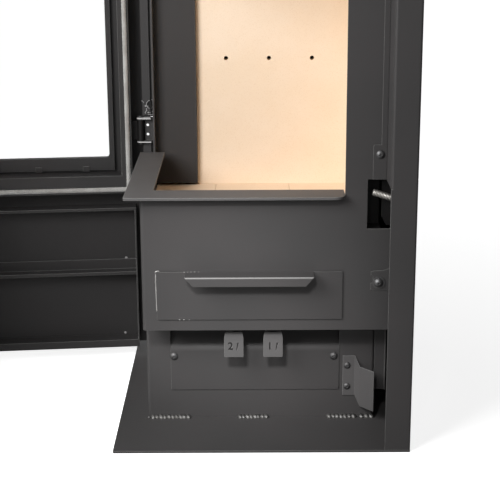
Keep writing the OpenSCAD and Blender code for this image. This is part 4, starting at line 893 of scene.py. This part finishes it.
# %% Rims and spatter
def bead_along(path, radii):
    """A thin uneven bead along a path in the front plane."""
    around = 8
    rings = []
    for i, point in enumerate(path):
        tangent = (path[min(i + 1, len(path) - 1)] - path[max(i - 1, 0)]).normalized()
        side = tangent.cross(Vector((0, 1, 0))).normalized()
        up = tangent.cross(side)
        rings.append([point + (side * cos(tau * k / around) + up * sin(tau * k / around)) * radii[i]
                      for k in range(around)])
    return skin(rings)


notch_heights, notch_x = (511.5, 871.5), -207.0
near_face, far_face = 189.8, 196.8
# The middle, radius and plane of each arc of a rim, and the angles from which and to which it runs.
rim_arcs = [(notch_x, 8.0, 189.6, 100, 255), (notch_x, 8.0, 196.6, 20, 84), (-226.5, 7.5, 189.6, 25, 75)]


def notch_rims():
    """Ragged rim of the burnt notch at each hinge, with spatter below it and at the strip's foot."""
    parts = []
    rng = random.Random(7)
    for z in notch_heights:
        for middle_x, radius, y, a, b in rim_arcs:
            steps = round((b - a) / 9)
            turns = [radians(a + (b - a) * i / steps) for i in range(steps + 1)]
            path = [Vector((middle_x + (radius + rng.uniform(-0.3, 0.3)) * cos(turn), y,
                            z + (radius + rng.uniform(-0.3, 0.3)) * sin(turn))) * mm for turn in turns]
            parts.append(bead_along(path, [rng.uniform(0.5, 1.0) * mm for _ in path]))
        for i in range(16):
            x = rng.uniform(-219, -202)
            y = near_face if x < -208 else far_face
            size = rng.uniform(0.8, 1.9) * mm
            place = Vector((x, y, z + rng.uniform(-17, -3))) * mm
            parts.append(lump(place, (size, 0.5 * size, size * 1.1), i * 1.9, 7, 9, 0.4))
        foot = [Vector((x, 189.4, z - 19.8 + rng.uniform(-0.2, 0.2))) * mm for x in range(-213, -200)]
        parts.append(bead_along(foot, [rng.uniform(0.4, 0.6) * mm for _ in foot]))
    return parts


burnt_steel = coat("burnt_steel", 165, 190, grain_size=500.0, bump=0.5)
own_piece("notch_rims", mesh_of("notch_rims", notch_rims()), "stove_body", burnt_steel)


# %% Painted shade in the notches
soot_radius = 7.3


def slit(x0, x1, y0, y1, z0, z1):
    """A thin dark filling with a slightly uneven outline."""
    steps = 12
    outline = [(x0 + (x1 - x0) * i / steps, z0 + jitter(i + x0, 0.3)) for i in range(steps + 1)]
    outline += [(x1 - (x1 - x0) * i / steps, z1 + jitter(i + x1, 0.3)) for i in range(steps + 1)]
    return skin([[Vector((x, y, z)) * mm for x, z in outline] for y in (y1, y0)])


def half_disc(y, z, a, b):
    """A dark filling of one side of a notch, between two angles."""
    turns = [radians(a + (b - a) * i / 16) for i in range(17)]
    outline = [(notch_x + soot_radius * cos(turn), z + soot_radius * sin(turn)) for turn in turns]
    return skin([[Vector((x, y + d, h)) * mm for x, h in outline] for d in (0.6, -0.6)])


def soot_fills():
    """Dark fillings as painted shade in the burnt notches and in the slit at the strip's foot."""
    parts = []
    for z in notch_heights:
        parts += [half_disc(191.8, z, 98, 262), half_disc(198.8, z, -82, 82)]
        low, high = z - soot_radius, z + soot_radius
        between = [(191.0, low), (199.4, low), (199.4, high), (191.0, high)]
        parts.append(skin([[Vector((x, y, h)) * mm for y, h in between] for x in (-208.2, -205.2)]))
        parts.append(slit(-219.5, -208.2, 189.4, 189.95, z - 23.4, z - 20.5))
        parts.append(slit(-207.8, -200.3, 196.4, 196.95, z - 23.4, z - 20.5))
    return parts


soot_mesh = mesh_of("soot_fills", soot_fills(), smooth=False)
own_piece("soot_fills", soot_mesh, "stove_body", soot)

# %% [markdown]
# ## Rubbed hinges and rivets
# The door has rubbed the hinge ears on top and along their rims, and the pale finish there is rubbed
# wear and a painted highlight of their bright tops. The spots are too small for a mask, so a thin plate
# and thin beads in that pale finish lie on them. Two small rivets hold the door's lower frame.


# %% Rubbed ears with painted highlights
hinge_heights, pin_x, pin_y = (462.5, 822.5), -227, 187
ear_top, ear_edge = 24.5, 22.8


def rubbed_ear(z):
    """The rubbed top of a hinge ear with a painted highlight: a thin plate with soft corners."""
    radius = 1.5
    outline = []
    for x, y, a in ((-209.5, 188.0, 0), (-231.5, 188.0, 90), (-231.5, 182.0, 180), (-209.5, 182.0, 270)):
        for i in range(5):
            turn = radians(a + 90 * i / 4)
            outline.append((x + radius * cos(turn), y + radius * sin(turn)))
    return skin([[Vector((x, y, z + h)) * mm for x, y in outline] for h in (-0.2, 0.25)])


def ear_rim(z):
    """The rubbed front rim of one ear with a painted highlight, from the leaf round to the outer side of
    the knuckle.
    """
    radius = 6.7
    path = [Vector((x, pin_y - radius, z)) * mm for x in range(-207, pin_x, -2)]
    turns = [radians(a) for a in range(0, 75, 12)]
    path += [Vector((pin_x - radius * sin(turn), pin_y - radius * cos(turn), z)) * mm for turn in turns]
    return bead_along(path, [jitter(i + z, 0.15) * mm + 1.15 * mm for i in range(len(path))])


ears = [rubbed_ear(z + ear_top) for z in hinge_heights]
ears += [ear_rim(z + h) for z in hinge_heights for h in (-ear_edge, ear_edge)]
ear_mesh = mesh_of("rubbed_ears", ears, smooth=False)
own_piece("rubbed_ears", ear_mesh, "stove_body", ear_wear_and_highlight_paint)


# %% Rivet heads
rivet_places = [(-264.4, 203.9, 201.2), (-270.8, 203.3, 43.2)]
rivet_heights = [-0.4, 0, 0.5, 0.9, 1.1]
facing_out = Matrix.Rotation(radians(5.5), 4, "Z") @ Matrix.Rotation(pi / 2, 4, "X")


def rivet_radius(height, angle):
    """A low round head that stands on a short shaft."""
    return 2.6 * max(0.05, 1 - max(0.0, height) ** 2 / 1.25) ** 0.5


rivets = [turned(rivet_heights, 18, rivet_radius,
                 Matrix.Translation(Vector(place) * mm) @ facing_out @ Matrix.Scale(mm, 4))
          for place in rivet_places]
own_piece("door_rivets", mesh_of("door_rivets", rivets), "door", burnt_steel)

# %% [markdown]
# ## Studio
# A stove in a dark room would need many lamps to show its black faces. Here the world is white for
# camera, glossy and transmission rays, so the background and the view through the glass are white,
# while the light on the stove stays soft and comes from two lamps.

# %% World
ambient = 0.02
world = bpy.data.worlds.new("studio")
bpy.context.scene.world = world
world.use_nodes = True
tree = world.node_tree
background = tree.nodes["Background"]
rays = put(tree, "ShaderNodeLightPath").outputs
mirrored = step(tree, "MAXIMUM", rays["Is Glossy Ray"], rays["Is Transmission Ray"])
seen = step(tree, "MAXIMUM", rays["Is Camera Ray"], mirrored)
background.inputs["Color"].default_value = (1, 1, 1, 1)
tree.links.new(step(tree, "MAXIMUM", seen, ambient), background.inputs["Strength"])
bpy.context.scene.view_settings.view_transform = "Standard"
print("world:", world.name, "with ambient light", ambient)


# %% Floor
half_width = 12.0


def add_floor():
    """A pale floor that the camera sees as almost white, with the stove's own soft shadow."""
    mesh = bpy.data.meshes.new("floor")
    corners = [(x * half_width, y * half_width, 0) for x, y in ((-1, -1), (1, -1), (1, 1), (-1, 1))]
    mesh.from_pydata(corners, [], [(0, 1, 2, 3)])
    floor = bpy.data.objects.new("floor", mesh)
    bpy.context.scene.collection.objects.link(floor)
    material, tree, shader = new_material("pale_floor")
    shader.inputs["Base Color"].default_value = (0.86, 0.86, 0.86, 1)
    shader.inputs["Roughness"].default_value = 0.9
    shader.inputs["Emission Color"].default_value = (1, 1, 1, 1)
    rays = put(tree, "ShaderNodeLightPath").outputs
    seen_floor = step(tree, "MAXIMUM", rays["Is Camera Ray"], rays["Is Transmission Ray"])
    here = put(tree, "ShaderNodeTexCoord").outputs["Object"]
    distance = put(tree, "ShaderNodeVectorMath", {0: here}, operation="LENGTH").outputs["Value"]
    glow = remap(tree, distance, 0.4, 1.6, 0.84, 0.99)
    tree.links.new(step(tree, "MULTIPLY", seen_floor, glow), shader.inputs["Emission Strength"])
    mesh.materials.append(material)
    print("floor:", 2 * half_width, "m wide")


add_floor()


# %% Lamps
def hang(name, data, place, aim):
    """Put a lamp at its place, turned to its aim and unseen by the camera."""
    lamp = bpy.data.objects.new(name, data)
    bpy.context.scene.collection.objects.link(lamp)
    lamp.location = place
    lamp.visible_camera = False
    lamp.rotation_euler = (Vector(aim) - Vector(place)).to_track_quat("-Z", "Y").to_euler()
    print("lamp:", name, data.energy, "W")


key = bpy.data.lights.new("key", "AREA")
key.shape = "SQUARE"
key.size = 0.8
key.energy = 23.8
hang("key", key, (-0.866, -1.066, 1.129), (0, -0.2, 0.45))

spot = bpy.data.lights.new("front_spot", "SPOT")
spot.energy = 140
spot.spot_size = radians(13)
spot.spot_blend = 0.6
spot.shadow_soft_size = 0.13
hang("front_spot", spot, (-0.281, -1.794, 1.396), (-0.04, -0.205, 0.22))
